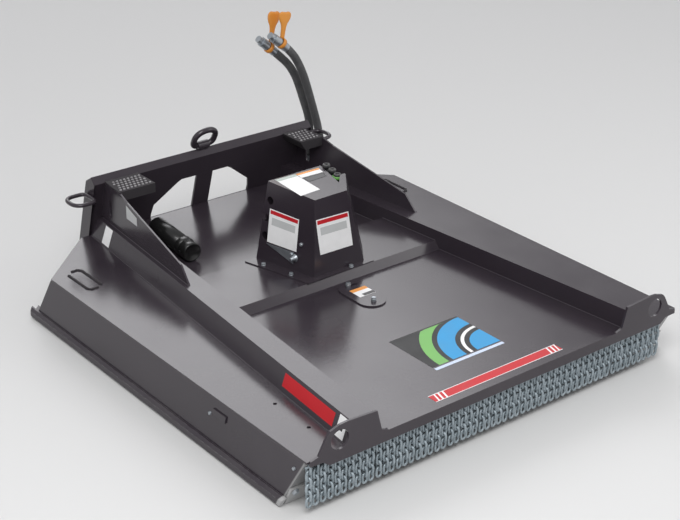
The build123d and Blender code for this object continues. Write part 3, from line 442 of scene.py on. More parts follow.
def make_weathering():
    """Tone, dust, lighter edges, scratches and grain of a painted or bare metal surface. The lighter edges
    are worn bare, and on the charcoal paint partly a painted highlight.
    """
    group, start, end = effect_group(
        "weathering",
        [("Tone Scale", "NodeSocketFloat", 3.0), ("Grain Scale", "NodeSocketFloat", 600.0),
         ("Edge Width", "NodeSocketFloat", 0.002), ("Edge Break", "NodeSocketFloat", 60.0)],
        [("Tone", "NodeSocketFloat"), ("Dust", "NodeSocketFloat"), ("Edge", "NodeSocketFloat"),
         ("Scratch", "NodeSocketFloat"), ("Grain", "NodeSocketFloat")],
    )
    place = group.nodes.new("ShaderNodeTexCoord").outputs["Object"]
    tone = noise(group, place, start.outputs["Tone Scale"], 6)
    group.links.new(remap(group, tone, 0.3, 0.7, 0.0, 1.0), end.inputs["Tone"])
    geometry = group.nodes.new("ShaderNodeNewGeometry")
    facing = group.nodes.new("ShaderNodeSeparateXYZ")
    group.links.new(geometry.outputs["Normal"], facing.inputs[0])
    lying = remap(group, facing.outputs["Z"], 0.2, 0.95, 0.0, 1.0)
    patches = remap(group, noise(group, place, 5.0, 9, 0.65), 0.42, 0.72, 0.0, 1.0)
    group.links.new(shade(group, "MULTIPLY", lying, patches), end.inputs["Dust"])
    rounded = group.nodes.new("ShaderNodeBevel")
    rounded.samples = 4
    group.links.new(start.outputs["Edge Width"], rounded.inputs["Radius"])
    turn = group.nodes.new("ShaderNodeVectorMath")
    turn.operation = "DOT_PRODUCT"
    group.links.new(rounded.outputs["Normal"], turn.inputs[0])
    group.links.new(geometry.outputs["Normal"], turn.inputs[1])
    corner = remap(group, turn.outputs["Value"], 0.995, 0.9, 0.0, 1.0)
    broken = remap(group, noise(group, place, start.outputs["Edge Break"], 4), 0.42, 0.62, 0.0, 1.0)
    group.links.new(shade(group, "MULTIPLY", corner, broken), end.inputs["Edge"])
    stretch = place_node(group, "ShaderNodeMapping", Scale=(1.0, 16.0, 16.0), Rotation=(0.3, 0.5, 0.9))
    group.links.new(place, stretch.inputs["Vector"])
    lines = noise(group, stretch.outputs["Vector"], 22.0, 3)
    group.links.new(remap(group, lines, 0.66, 0.72, 0.0, 1.0), end.inputs["Scratch"])
    group.links.new(noise(group, place, start.outputs["Grain Scale"], 2), end.inputs["Grain"])
    return group


def make_braid():
    """The crossing strands of a woven sleeve, from the map along and round the hose."""
    group, start, end = effect_group(
        "braid",
        [("Around", "NodeSocketFloat", 26.0), ("Along", "NodeSocketFloat", 170.0)],
        [("Height", "NodeSocketFloat"), ("Wear", "NodeSocketFloat")],
    )
    parts = group.nodes.new("ShaderNodeSeparateXYZ")
    group.links.new(group.nodes.new("ShaderNodeTexCoord").outputs["UV"], parts.inputs[0])
    across = shade(group, "MULTIPLY", parts.outputs["X"], start.outputs["Around"])
    along = shade(group, "MULTIPLY", parts.outputs["Y"], start.outputs["Along"])
    strands = []
    for operation in ("ADD", "SUBTRACT"):
        phase = shade(group, "MULTIPLY", shade(group, operation, across, along), 2 * pi)
        strands.append(shade(group, "SINE", phase, 0.0))
    height = shade(group, "MAXIMUM", *strands)
    group.links.new(remap(group, height, -0.4, 1.0, 0.0, 1.0), end.inputs["Height"])
    place = group.nodes.new("ShaderNodeTexCoord").outputs["Object"]
    group.links.new(remap(group, noise(group, place, 18.0, 6), 0.45, 0.75, 0.0, 1.0), end.inputs["Wear"])
    return group


weathering = make_weathering()
braid = make_braid()


def mix_colour(tree, share, a, b):
    """Colour a, with a share of colour b in it."""
    node = tree.nodes.new("ShaderNodeMix")
    node.data_type = "RGBA"
    tree.links.new(share, node.inputs["Factor"])
    for socket, value in ((node.inputs[6], a), (node.inputs[7], b)):
        if isinstance(value, tuple):
            socket.default_value = (*value, 1)
        else:
            tree.links.new(value, socket)
    return node.outputs[2]


def weathered(name, dark, light, bare_and_highlight=None, dust=(0.30, 0.29, 0.27), dust_share=0.1, edge_share=0.5,
              scratch_share=0.1, roughness=(0.3, 0.45), metallic=0.0, grain=0.15,
              tone_scale=3.0, grain_scale=600.0, edge_width=0.002):
    """A paint, metal or plastic with tone, dust, lighter edges and grain. The lighter edges are worn bare,
    and on the charcoal paint partly a painted highlight.
    """
    material = bpy.data.materials.new(name)
    material.use_nodes = True
    tree = material.node_tree
    surface = tree.nodes["Principled BSDF"]
    worn = tree.nodes.new("ShaderNodeGroup")
    worn.node_tree = weathering
    worn.inputs["Tone Scale"].default_value = tone_scale
    worn.inputs["Grain Scale"].default_value = grain_scale
    worn.inputs["Edge Width"].default_value = edge_width
    colour = mix_colour(tree, worn.outputs["Tone"], dark, light)
    scratch = shade(tree, "MULTIPLY", worn.outputs["Scratch"], scratch_share)
    edge = shade(tree, "MULTIPLY", worn.outputs["Edge"], edge_share)
    # Edges and scratches take the lighter colour: wear, and on the charcoal paint partly a painted
    # highlight
    bared_and_highlit = shade(tree, "MAXIMUM", scratch, edge)
    colour = mix_colour(tree, bared_and_highlit, colour, bare_and_highlight or light)
    dusty = shade(tree, "MULTIPLY", worn.outputs["Dust"], dust_share)
    colour = mix_colour(tree, dusty, colour, dust)
    tree.links.new(colour, surface.inputs["Base Color"])
    rough = remap(tree, worn.outputs["Tone"], 0.0, 1.0, *roughness)
    matt = shade(tree, "MULTIPLY", dusty, 0.5)
    tree.links.new(shade(tree, "ADD", rough, matt), surface.inputs["Roughness"])
    if metallic:
        surface.inputs["Metallic"].default_value = metallic
    elif bare_and_highlight:
        tree.links.new(shade(tree, "MULTIPLY", bared_and_highlit, 0.8), surface.inputs["Metallic"])
    bump = place_node(tree, "ShaderNodeBump", Strength=grain, Distance=0.0006)
    tree.links.new(worn.outputs["Grain"], bump.inputs["Height"])
    tree.links.new(bump.outputs["Normal"], surface.inputs["Normal"])
    return material


def make_sleeve():
    """Black woven sleeve of the hoses."""
    material = bpy.data.materials.new("woven_sleeve")
    material.use_nodes = True
    tree = material.node_tree
    surface = tree.nodes["Principled BSDF"]
    woven = tree.nodes.new("ShaderNodeGroup")
    woven.node_tree = braid
    colour = mix_colour(tree, woven.outputs["Height"], (0.018, 0.018, 0.019), (0.085, 0.085, 0.088))
    worn = shade(tree, "MULTIPLY", woven.outputs["Wear"], 0.5)
    tree.links.new(mix_colour(tree, worn, colour, (0.13, 0.13, 0.13)), surface.inputs["Base Color"])
    surface.inputs["Roughness"].default_value = 0.55
    bump = place_node(tree, "ShaderNodeBump", Strength=0.6, Distance=0.0012)
    tree.links.new(woven.outputs["Height"], bump.inputs["Height"])
    tree.links.new(bump.outputs["Normal"], surface.inputs["Normal"])
    return material


CHARCOAL = (0.030, 0.0235, 0.0305)
CHARCOAL_LIGHT = (0.036, 0.0285, 0.0365)
BARE_STEEL = (0.42, 0.42, 0.43)


def glossy_charcoal(name):
    """The smooth paint of the deck and mount, grey along its edges: partly a painted highlight on the
    bends, partly wear.
    """
    return weathered(name, CHARCOAL, CHARCOAL_LIGHT, bare_and_highlight=(0.12, 0.11, 0.12), edge_share=0.7,
                     scratch_share=0.0, roughness=(0.17, 0.22), dust_share=0.03, grain=0.05)


charcoal = glossy_charcoal("charcoal_coat")
runner_coat = weathered("runner_coat", CHARCOAL, CHARCOAL_LIGHT, bare_and_highlight=BARE_STEEL, edge_share=0.8,
                        scratch_share=0.1, roughness=(0.3, 0.4), dust_share=0.1)
NOSE_RAKE = 0.542
# The raked toe faces turn light grey in colour here: a painted reflection of the floor
TOE_CLEAR = 0.014
TOE_FULL = 0.008
TOE_SHARE = 0.9


def toe_reflection(material, colour):
    """Lightens the raked front faces of a skirt or runner in colour: a painted reflection of the bright
    floor.
    """
    tree = material.node_tree
    parts = tree.nodes.new("ShaderNodeSeparateXYZ")
    tree.links.new(tree.nodes.new("ShaderNodeTexCoord").outputs["Object"], parts.inputs[0])
    raked = shade(tree, "ADD", parts.outputs["Y"], shade(tree, "MULTIPLY", parts.outputs["Z"], NOSE_RAKE))
    face = DECK_FRONT + NOSE_RAKE * DECK_TOP
    share = remap(tree, raked, face + TOE_CLEAR, face + TOE_FULL, 0.0, TOE_SHARE)
    skin = tree.nodes["Principled BSDF"].inputs["Base Color"]
    tree.links.new(mix_colour(tree, share, skin.links[0].from_socket, colour), skin)


# Light grey toe on the runners: painted reflection of the floor
toe_reflection(runner_coat, (0.42, 0.42, 0.42))
skirt_coat = glossy_charcoal("skirt_coat")
# Grey toe on the skirts: painted reflection of the floor
toe_reflection(skirt_coat, (0.26, 0.26, 0.26))
step_coat = weathered("step_coat", (0.020, 0.017, 0.020), (0.028, 0.024, 0.028), bare_and_highlight=(0.10, 0.09, 0.10),
                      edge_share=0.7, scratch_share=0.0, roughness=(0.75, 0.9), dust_share=0.04, grain=0.3)
# The studs are far lighter in colour than the step under them: a painted highlight on their tops, with
# their edges worn bare
tread_coat = weathered("tread_coat", (0.20, 0.19, 0.20), (0.34, 0.33, 0.34), bare_and_highlight=BARE_STEEL,
                       edge_share=0.9, roughness=(0.35, 0.45), tone_scale=40)
finishes = {
    "charcoal_paint": charcoal,
    "chain_steel": weathered("chain_steel", (0.22, 0.265, 0.29), (0.38, 0.435, 0.47), roughness=(0.34, 0.5),
                             metallic=0.4, dust_share=0.05, tone_scale=30, grain_scale=900),
    "zinc_steel": weathered("zinc_steel", (0.34, 0.37, 0.40), (0.48, 0.51, 0.54), roughness=(0.36, 0.5),
                            metallic=0.9, dust_share=0.1, tone_scale=20),
    "blade_steel": weathered("blade_steel", (0.05, 0.05, 0.052), (0.08, 0.078, 0.078),
                             bare_and_highlight=(0.55, 0.55, 0.55), edge_share=1.0, scratch_share=0.4,
                             roughness=(0.4, 0.55), dust_share=0.2, edge_width=0.006),
    "motor_iron": weathered("motor_iron", (0.03, 0.03, 0.032), (0.055, 0.055, 0.058), bare_and_highlight=BARE_STEEL,
                            roughness=(0.4, 0.55), dust_share=0.2, grain=0.4, grain_scale=300),
    "hose_sleeve": make_sleeve(),
    "orange_cap": weathered("orange_cap", (0.56, 0.20, 0.022), (0.70, 0.29, 0.045), roughness=(0.35, 0.5),
                            dust_share=0.15, edge_share=0.3, scratch_share=0.05, grain=0.1),
    "black_plastic": weathered("black_plastic", (0.009, 0.009, 0.009), (0.014, 0.014, 0.014),
                               roughness=(0.2, 0.3), dust_share=0.03, edge_share=0.3, grain=0.1),
}


def vinyl(name, colour):
    """A printed vinyl sheet, a little uneven in tone and gloss."""
    paler = tuple(min(1.0, 1.08 * c + 0.004) for c in colour)
    return weathered(name, colour, paler, roughness=(0.45, 0.55), dust_share=0.04, edge_share=0.1,
                     scratch_share=0.03, grain=0.03, tone_scale=14)


WHITE = vinyl("white_vinyl", (0.80, 0.80, 0.80))
RED = vinyl("red_vinyl", (0.50, 0.005, 0.012))
ORANGE = vinyl("orange_vinyl", (0.75, 0.30, 0.06))
BLUE = vinyl("blue_vinyl", (0.015, 0.28, 0.58))
GREEN = vinyl("green_vinyl", (0.16, 0.42, 0.10))
DARK = vinyl("dark_vinyl", (0.075, 0.075, 0.078))
INK = vinyl("black_vinyl", (0.008, 0.008, 0.009))
SOFT_GREY = vinyl("soft_grey_vinyl", (0.50, 0.51, 0.51))
PALE_GREEN = vinyl("pale_green_vinyl", (0.42, 0.48, 0.44))
PALE_BLUE = vinyl("pale_blue_vinyl", (0.55, 0.63, 0.78))
VINYLS = [WHITE, RED, ORANGE, BLUE, GREEN, DARK, INK, SOFT_GREY, PALE_GREEN, PALE_BLUE]

for row in frame["record"]["subparts"]:
    node = frame["nodes"][row["node"]]
    material = finishes[row["material_slot"]]
    if node.name.endswith("_runner"):
        material = runner_coat
    if node.name.endswith("side_skirt"):
        material = skirt_coat
    if node.name.endswith("_step"):
        material = step_coat
    node.data.materials.clear()
    node.data.materials.append(material)
for hose in hoses:
    hose.data.materials.append(finishes["hose_sleeve"])
for cap in caps.values():
    cap.data.materials.append(finishes["orange_cap"])


# Chain curtains: single links, every second one turned by a quarter
LINK_PITCH = 28
LINK_WIRE = 11
LINK_WIDTH = 33
LINK_SIDES = 7
LINK_BEND_STEPS = 5
LINKS = 6
LINK_TWIST = radians(5)
LINK_LEAN = 0.8
CHAIN_ROD = 4.5
CHAIN_ROD_SIDES = 10
CURTAINS = [
    # node, first x, pitch, columns, y, z of the rod, turn of the first link
    ("front_chains", -944, 32, 58, 16.5, -33, radians(96)),
    ("rear_chains", -625, 50, 26, 2099, -15, radians(45)),
]


def link_path():
    """The middle line of a link's wire in its own plane, as (across, up) pairs."""
    bend = (LINK_WIDTH - LINK_WIRE) / 2
    straight = (LINK_PITCH + LINK_WIRE) / 2 - bend
    line = []
    for side in (0, 1):
        for k in range(LINK_BEND_STEPS + 1):
            turn = pi * (side + k / LINK_BEND_STEPS)
            line.append((bend * cos(turn), bend * sin(turn) + straight * (1 - 2 * side)))
    return line


LINK_LINE = link_path()
LINK_RADII = [LINK_WIRE / 2] * len(LINK_LINE)
UP = Vector((0, 0, 1))


for node, first_x, pitch, columns, y, rod_z, first_turn in CURTAINS:
    draw = random.Random(columns)
    curtain = Builder()
    last_x = first_x + pitch * (columns - 1)
    rod_ends = [at(first_x - pitch / 2, y, rod_z), at(last_x + pitch / 2, y, rod_z)]
    curtain.rings([ring for ring, run in tube_rings(rod_ends, CHAIN_ROD * MM, CHAIN_ROD_SIDES)])
    top = rod_z + CHAIN_ROD + LINK_WIRE - (LINK_PITCH + 2 * LINK_WIRE) / 2
    for column in range(columns):
        lean = draw.uniform(-LINK_LEAN, LINK_LEAN)
        for k in range(LINKS):
            turn = first_turn + k % 2 * pi / 2 + draw.uniform(-LINK_TWIST, LINK_TWIST)
            place = at(first_x + pitch * column + lean * k, y, top - k * LINK_PITCH)
            across = Vector((cos(turn), sin(turn), 0))
            curtain.closed_bar(place, across, UP, LINK_LINE, LINK_RADII, LINK_SIDES)
    piece = curtain.finish(node + "_links", [finishes["chain_steel"]])
    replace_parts(piece, node)


# Labels: a thin vinyl sheet on a face, blank apart from bands and blocks of colour
SHEET = 0.5
SHEET_GAP = 0.1
PRINT = 0.12
PRINT_STEP = 0.03
SHEET_PARTS = 6


def cut_outline(outline):
    """An outline in shares of the sheet as faces that no line of the sheet's grid crosses."""
    work = bmesh.new()
    work.faces.new([work.verts.new((a, b, 0)) for a, b in outline])
    for axis in (Vector((1, 0, 0)), Vector((0, 1, 0))):
        for k in range(1, SHEET_PARTS):
            parts = work.verts[:] + work.edges[:] + work.faces[:]
            bmesh.ops.bisect_plane(work, geom=parts, plane_co=axis * k / SHEET_PARTS, plane_no=axis)
    return work


def label(name, face, base, prints, body="machine"):
    """A sheet of the base vinyl with prints on it, as one closed mesh.

    face(across, up, lift) gives its points, with lift in millimetres off the surface. Prints are
    (material, outline) pairs, with the outline in shares across and up the sheet.
    """
    sheet = Builder()
    layers = [(base, [(0, 0), (1, 0), (1, 1), (0, 1)])] + prints
    for layer, (ink, outline) in enumerate(layers):
        low = SHEET_GAP if layer == 0 else SHEET
        high = SHEET if layer == 0 else SHEET + PRINT + layer % 4 * PRINT_STEP
        work = cut_outline(outline)
        work.verts.index_update()
        flat = [v.co.copy() for v in work.verts]
        points = [face(v.x, v.y, low) for v in flat] + [face(v.x, v.y, high) for v in flat]
        count = len(flat)
        faces = []
        for part in work.faces:
            ring = [v.index for v in part.verts]
            faces += [ring[::-1], [count + i for i in ring]]
        for edge in work.edges:
            if len(edge.link_faces) == 1:
                a, b = (v.index for v in edge.verts)
                faces.append([a, b, count + b, count + a])
        work.free()
        sheet.add(points, faces, False, VINYLS.index(ink))
    return sheet.finish(name, VINYLS, body)


def flat_face(*corners):
    """A flat sheet from its corners, round from the lower left, as points of the drawing."""
    low_left, low_right, high_right, high_left = [at(*corner) for corner in corners]
    out = (low_right - low_left).cross(high_left - low_left).normalized()

    def spot(across, up, lift):
        low = low_left.lerp(low_right, across)
        return low.lerp(high_left.lerp(high_right, across), up) + out * lift * MM

    return spot


def block(left, low, right, high):
    """A rectangle, in shares of the sheet."""
    return [(left, low), (right, low), (right, high), (left, high)]


def corner_arc(inner, outer, shape, steps=16):
    """A band round the sheet's lower right corner, flattened where it nears the upper edge."""
    line = []
    for radius, order in ((outer, 1), (inner, -1)):
        turns = [pi / 2 * k / steps for k in range(steps + 1)][::order]
        spots = [(1 - radius * cos(t), radius * shape * sin(t)) for t in turns]
        line += [(across, min(up, 0.97)) for across, up in spots] if radius else [(1, 0)]
    return line


COVER_CORNERS = [
    # foot x, foot y, top x, top y, places from the spindle
    (-107, -93, -106, -93),
    (171, -85, 67, -90),
    (258, 33, 176, 57),
    (258, 220, 150, 196),
    (-189, 220, -139, 193),
]
COVER_FRONT = 0
COVER_LEFT = 4


def cover_point(side, along, up, lift=0.0):
    """A point on a side of the cover: shares along it from its first corner and up from its foot."""
    first = COVER_CORNERS[side]
    second = COVER_CORNERS[(side + 1) % len(COVER_CORNERS)]
    foot = [Vector((x, y + SPINDLE_Y, COVER_FOOT_Z)) for x, y, top_x, top_y in (first, second)]
    top = [Vector((top_x, top_y + SPINDLE_Y, COVER_TOP)) for x, y, top_x, top_y in (first, second)]
    spot = foot[0].lerp(foot[1], along).lerp(top[0].lerp(top[1], along), up)
    way = (foot[1] - foot[0]).lerp(top[1] - top[0], up)
    rise = (top[0] - foot[0]).lerp(top[1] - foot[1], along)
    return at(*(spot + way.cross(rise).normalized() * lift))


def cover_face(side, *corners):
    """A sheet on a side of the cover, from the shares along and up of its corners."""
    corners = [Vector(corner) for corner in corners]

    def spot(across, up, lift):
        low = corners[0].lerp(corners[1], across)
        place = low.lerp(corners[3].lerp(corners[2], across), up)
        return cover_point(side, place.x, place.y, lift)

    return spot


HEADER = [(RED, block(0.03, 0.855, 0.97, 0.97)), (SOFT_GREY, block(0.10, 0.54, 0.90, 0.76))]
label("cover_front_label", cover_face(COVER_FRONT, (0.128, 0.282), (0.847, 0.268), (0.903, 0.726),
                                      (0.031, 0.745)), WHITE, HEADER)
label("cover_left_label", cover_face(COVER_LEFT, (0.146, 0.263), (0.675, 0.263), (0.697, 0.682),
                                     (0.119, 0.682)), WHITE, HEADER)
label("cover_top_label", flat_face((-125, 1143, COVER_TOP), (-18, 1151, COVER_TOP), (-2, 1348, COVER_TOP),
                                   (-108, 1350, COVER_TOP)), WHITE,
      [(PALE_GREEN, block(0, 0.88, 1, 1))])
label("cover_second_label", flat_face((-3, 1298, COVER_TOP), (110, 1296, COVER_TOP), (122, 1344, COVER_TOP),
                                      (0, 1346, COVER_TOP)), WHITE, [(ORANGE, block(0, 0.66, 1, 1))])
label("cover_dark_label", flat_face((-6, 1243, COVER_TOP), (96, 1249, COVER_TOP), (106, 1286, COVER_TOP),
                                    (-3, 1294, COVER_TOP)), INK, [(DARK, block(0.05, 0.10, 0.95, 0.90))])
ACCESS_LABEL_Z = 6.3
ACCESS_LABEL = [(-26, 862), (58, 862), (58, 936), (-26, 936)]
label("access_label", flat_face(*[(x, y, ACCESS_LABEL_Z) for x, y in ACCESS_LABEL]), WHITE,
      [(ORANGE, block(0, 0.68, 1, 1)), (DARK, block(0.3, 0.02, 1, 0.3))], body="access_cover")

# Safety strip along the deck's front edge: plain red with white slashes at both ends
STRIP = [(-333, 32), (335, 32), (335, 82), (-333, 82)]
STRIP_EDGE = 0.06
SLASH_LEAN = 0.018
SLASHES = [
    # start and end along the strip's lower edge
    (0.02, 0.030), (0.048, 0.060), (0.080, 0.092),
    (0.908, 0.920), (0.940, 0.952), (0.970, 0.980),
]
slashes = []
for start, end in SLASHES:
    slashes.append((WHITE, [(start, STRIP_EDGE), (end, STRIP_EDGE), (end + SLASH_LEAN, 1 - STRIP_EDGE),
                            (start + SLASH_LEAN, 1 - STRIP_EDGE)]))
label("front_safety_strip", flat_face(*[(x, y, 0) for x, y in STRIP]), RED,
      slashes + [(WHITE, block(0, 0, 1, STRIP_EDGE)), (WHITE, block(0, 1 - STRIP_EDGE, 1, 1))])

# Square deck decal with a pale strip in front of it: plain arcs round one corner
DECAL = [(-174, 235), (187, 235), (187, 498), (-174, 498)]
DECAL_ARCS = [
    # ink, inner and outer radius as shares of the sheet's width
    (BLUE, 0.0, 0.34),
    (WHITE, 0.40, 0.44),
    (BLUE, 0.50, 0.70),
    (GREEN, 0.76, 0.90),
]
DECAL_SHAPE = (DECAL[1][0] - DECAL[0][0]) / (DECAL[2][1] - DECAL[1][1])
label("deck_decal", flat_face(*[(x, y, 0) for x, y in DECAL]), INK,
      [(ink, corner_arc(inner, outer, DECAL_SHAPE)) for ink, inner, outer in DECAL_ARCS])
DECAL_STRIP = [(-174, 210), (187, 210), (187, 226), (-174, 226)]
label("deck_decal_strip", flat_face(*[(x, y, 0) for x, y in DECAL_STRIP]), PALE_BLUE, [])


# Labels on the left side
def rail_side(y, z):
    """A point on the sloped outer wall of the left rail."""
    return (-(rail_inner(y) + RAIL_TOP_WIDTH + RAIL_SLOPE_WIDTH * (1 - z / RAIL_HEIGHT)), y, z)


def rail_face(rear, front, low, high):
    """A sheet on that wall, from its ends along the rail and its edges up it."""
    return flat_face(rail_side(rear, low), rail_side(front, low), rail_side(front, high),
                     rail_side(rear, high))


label("rail_safety_strip", rail_face(450, 108, 22, 72), RED, [])
label("rail_end_label", rail_face(82, 30, 5, 81), WHITE, [(INK, block(0.3, 0.62, 0.7, 0.68)),
                                                         (INK, block(0.3, 0.34, 0.7, 0.5))])
label("rail_rear_label", rail_face(1996, 1928, 6, 82), WHITE, [])
GUSSET_LABEL = [(1820, 178), (1720, 178), (1720, 216), (1820, 240)]
label("gusset_label", flat_face(*[(-gusset_outer(y), y, z) for y, z in GUSSET_LABEL]), SOFT_GREY, [])

# Bolts with washers
BOLTS = [
    # place, axis, size across flats, height
    ((-206, 1306, 40), (0, 0, 1), 17, 8),
    ((-168, 1157, 40), (0, 0, 1), 17, 8),
    ((86, 1063, 40), (0, 0, 1), 17, 8),
    ((272, 1290, 40), (0, 0, 1), 17, 8),
]
bolts = Builder()
for place, axis, across, height in BOLTS:
    bolts.bolt(at(*place), axis, across, height)
SIDE_BOLT = (0.76, 0.381)
foot = cover_point(COVER_LEFT, *SIDE_BOLT)
bolts.bolt(foot, cover_point(COVER_LEFT, *SIDE_BOLT, 1) - foot, 13, 6)
bolts.finish("cover_bolts", [finishes["zinc_steel"]])

ACCESS_BOLT_TOP = 14.2
ACCESS_BOLTS_Y = (805, 976)
access_heads = Builder()
for y in ACCESS_BOLTS_Y:
    access_heads.bolt(at(0, y, ACCESS_BOLT_TOP), (0, 0, 1), 19, 6)
access_heads.finish("access_bolt_heads", [finishes["zinc_steel"]])

# Fitting low on the cover's left face, with the bracket that it comes out of
FITTING_PROFILE = [(17, 0), (17, 5), (11, 6), (11, 18), (8, 20), (8, 30), (4, 32)]
FITTING_NUT_PROFILE = [(9, 0), (9, 7), (5, 9)]
BRACKET = [(0.14, 0.245), (0.64, 0.10), (0.64, 0.245)]
BRACKET_SHEET = 4
out = (cover_point(COVER_LEFT, 0.5, 0.2, 1) - cover_point(COVER_LEFT, 0.5, 0.2)).normalized()
fitting = Builder()
fitting.turned(cover_point(COVER_LEFT, 0.66, 0.185), out, FITTING_PROFILE, 20)
fitting.turned(cover_point(COVER_LEFT, 0.60, 0.215), out, FITTING_NUT_PROFILE, 6, smooth=False)
fitting.finish("cover_fitting", [finishes["zinc_steel"]])
bracket = Builder()
bracket.prism([cover_point(COVER_LEFT, along, up, 0.2) for along, up in BRACKET], out * BRACKET_SHEET * MM)
bracket.finish("cover_bracket", [finishes["zinc_steel"]])

# Open ends of the motor's ports, in the notch at the cover's rear right
PORTS = [
    # x, y, z of the port's top
    (156, 1331, 409),
    (151, 1283, 403),
    (147, 1242, 395),
]
PORT_PROFILE = [(15, 0), (15, 4), (17, 5), (17, 17), (15, 20), (10, 20), (9, 18), (9, 6), (1, 6)]
PORT_SINK = 14
PLUG_PROFILE = [(8.8, 0), (8.8, 9), (7, 11), (1, 11)]
PLUG_SINK = 9
SLEEVE_LOOP = [(18, 0), (21, 1), (22, 4), (22, 12), (18, 14)]
SLEEVE_Z = 378
ports = Builder()
for x, y, z in PORTS:
    ports.turned(at(x, y, z - PORT_SINK), (0, 0, 1), PORT_PROFILE, 20)
ports.finish("port_ends", [finishes["motor_iron"]])
plugs = Builder()
for x, y, z in PORTS:
    plugs.turned(at(x, y, z - PLUG_SINK), (0, 0, 1), PLUG_PROFILE, 16)
plugs.finish("port_plugs", [finishes["black_plastic"]])
sleeve = Builder()
sleeve.hoop(at(*PORTS[2][:2], SLEEVE_Z), (0, 0, 1), SLEEVE_LOOP, 24)
sleeve.finish("port_sleeve", [GREEN])

# Raised studs on the treads
STUD_PITCH = 19
STUD_ROW_PITCH = 1.25 * STUD_PITCH
STUD_PROFILE = [(6.2, 0), (5.2, 2.6), (4.2, 3.6), (3.0, 3.0), (2.2, 1.2)]
TREADS = [
    # side, inner edge
    ("left", -1, 383),
    ("right", 1, 433),
]
STEP_TOP = 280
STEP_FRONT_Y = 1880
for name, side, inner in TREADS:
    studs = Builder()
    rear = mount_front(STEP_TOP) - STUD_PITCH
    y = STEP_FRONT_Y + STUD_PITCH
    row = 0
    while y < rear:
        x = inner + STUD_PITCH * (0.8 + 0.5 * (row % 2))
        while x < gusset_outer(y) - 0.7 * STUD_PITCH:
            studs.turned(at(side * x, y, STEP_TOP - 0.1), (0, 0, 1), STUD_PROFILE, 10)
            x += STUD_PITCH
        y += STUD_ROW_PITCH
        row += 1
    studs.finish(name + "_tread_studs", [tread_coat])

# Mount: its sheets end at the two cheeks, which close the pocket for the machine's plate
CHEEK_OUT = 607
CHEEK_SHEET = 12
CHEEK_DEPTH = 75
MOUNT_BOTTOM = -150
MOUNT_SHEETS = ("mount_beam", "mount_plate", "mount_sill")


def trimmed(name):
    """The mount's own sheet, cut off where the cheeks stand."""
    mesh = frame["nodes"][name].data.copy()
    work = bmesh.new()
    work.from_mesh(mesh)
    for way in (-1, 1):
        parts = work.verts[:] + work.edges[:] + work.faces[:]
        cut = bmesh.ops.bisect_plane(work, geom=parts, plane_co=(way * CHEEK_OUT * MM, 0, 0),
                                     plane_no=(way, 0, 0), clear_outer=True)
        edges = [part for part in cut["geom_cut"] if isinstance(part, bmesh.types.BMEdge)]
        bmesh.ops.holes_fill(work, edges=edges)
    work.to_mesh(mesh)
    work.free()
    piece = as_object(name + "_sheet", mesh)
    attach(piece, "machine")
    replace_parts(piece, name)


for name in MOUNT_SHEETS:
    trimmed(name)
CHEEK = [
    # y, z of the outline: the beam's front and crest, then down the rear edge
    (mount_front(MOUNT_BOTTOM), MOUNT_BOTTOM), (mount_front(270), 270), (2058, 300), (2104, 272),
    (mount_front(250) + CHEEK_DEPTH, 250), (mount_front(MOUNT_BOTTOM) + CHEEK_DEPTH, MOUNT_BOTTOM),
]
for name, side in (("left", -1), ("right", 1)):
    cheek = Builder()
    inner = [at(side * (CHEEK_OUT - CHEEK_SHEET), y, z) for y, z in CHEEK]
    cheek.prism(inner, Vector((side * (CHEEK_SHEET + 0.4) * MM, 0, 0)))
    piece = cheek.finish(name + "_cheek", [charcoal])
    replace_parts(piece, name + "_mount_end")


def rounded_loop(half_width, low, high, low_power, high_power, steps=56):
    """A closed line: a flat side below and a round one above, as (across, up) pairs."""
    line = []
    for k in range(steps):
        turn = 2 * pi * k / steps
        power = 2 / (low_power if sin(turn) < 0 else high_power)
        reach = low if sin(turn) < 0 else high
        a = half_width * abs(cos(turn)) ** power * (1 if cos(turn) > 0 else -1)
        b = reach * abs(sin(turn)) ** power * (1 if sin(turn) > 0 else -1)
        line.append((a, b))
    return line


# Tie loops on the cheeks
LOOP_LINE = rounded_loop(57, 50, 56, 4.5, 2.6)
LOOP_ROD = 9.5
LOOP_REACH = 58
LOOP_Y = 2057
LOOP_Z = 207
for name, side in (("left", -1), ("right", 1)):
    loop = Builder()
    centre = at(side * (CHEEK_OUT + LOOP_REACH), LOOP_Y, LOOP_Z)
    radii = [LOOP_ROD] * len(LOOP_LINE)
    loop.closed_bar(centre, Vector((0, 1, 0)), Vector((side, 0, 0)), LOOP_LINE, radii, 14)
    piece = loop.finish(name + "_tie_ring", [charcoal])
    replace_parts(piece, name + "_tie_loop")

# Lift ring: a bar bent round, thinner where it turns in its clip
RING_LEAN = radians(28)
RING_CLIP = (-11, 2058, 318)
RING_REACH = 48
RING_LINE = rounded_loop(57, RING_REACH, RING_REACH, 3.8, 2.1, 72)
RING_RADII = [9.6 + 4.4 * min(1, max(0, abs(a) - 31) / 5 if b < -30 else 1) for a, b in RING_LINE]
ring_up = Vector((0, -sin(RING_LEAN), cos(RING_LEAN)))
lift_ring = Builder()
ring_centre = at(*RING_CLIP) + ring_up * RING_REACH * MM
lift_ring.closed_bar(ring_centre, Vector((1, 0, 0)), ring_up, RING_LINE, RING_RADII, 18)
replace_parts(lift_ring.finish("lifting_ring", [charcoal], "lift_ring"), "lift_ring")

# Weld beads, with the ripple that a torch leaves; dark beads of the same form on the deck are a painted
# reflection
WELD_RADIUS = 3.2
WELD_SIDES = 6


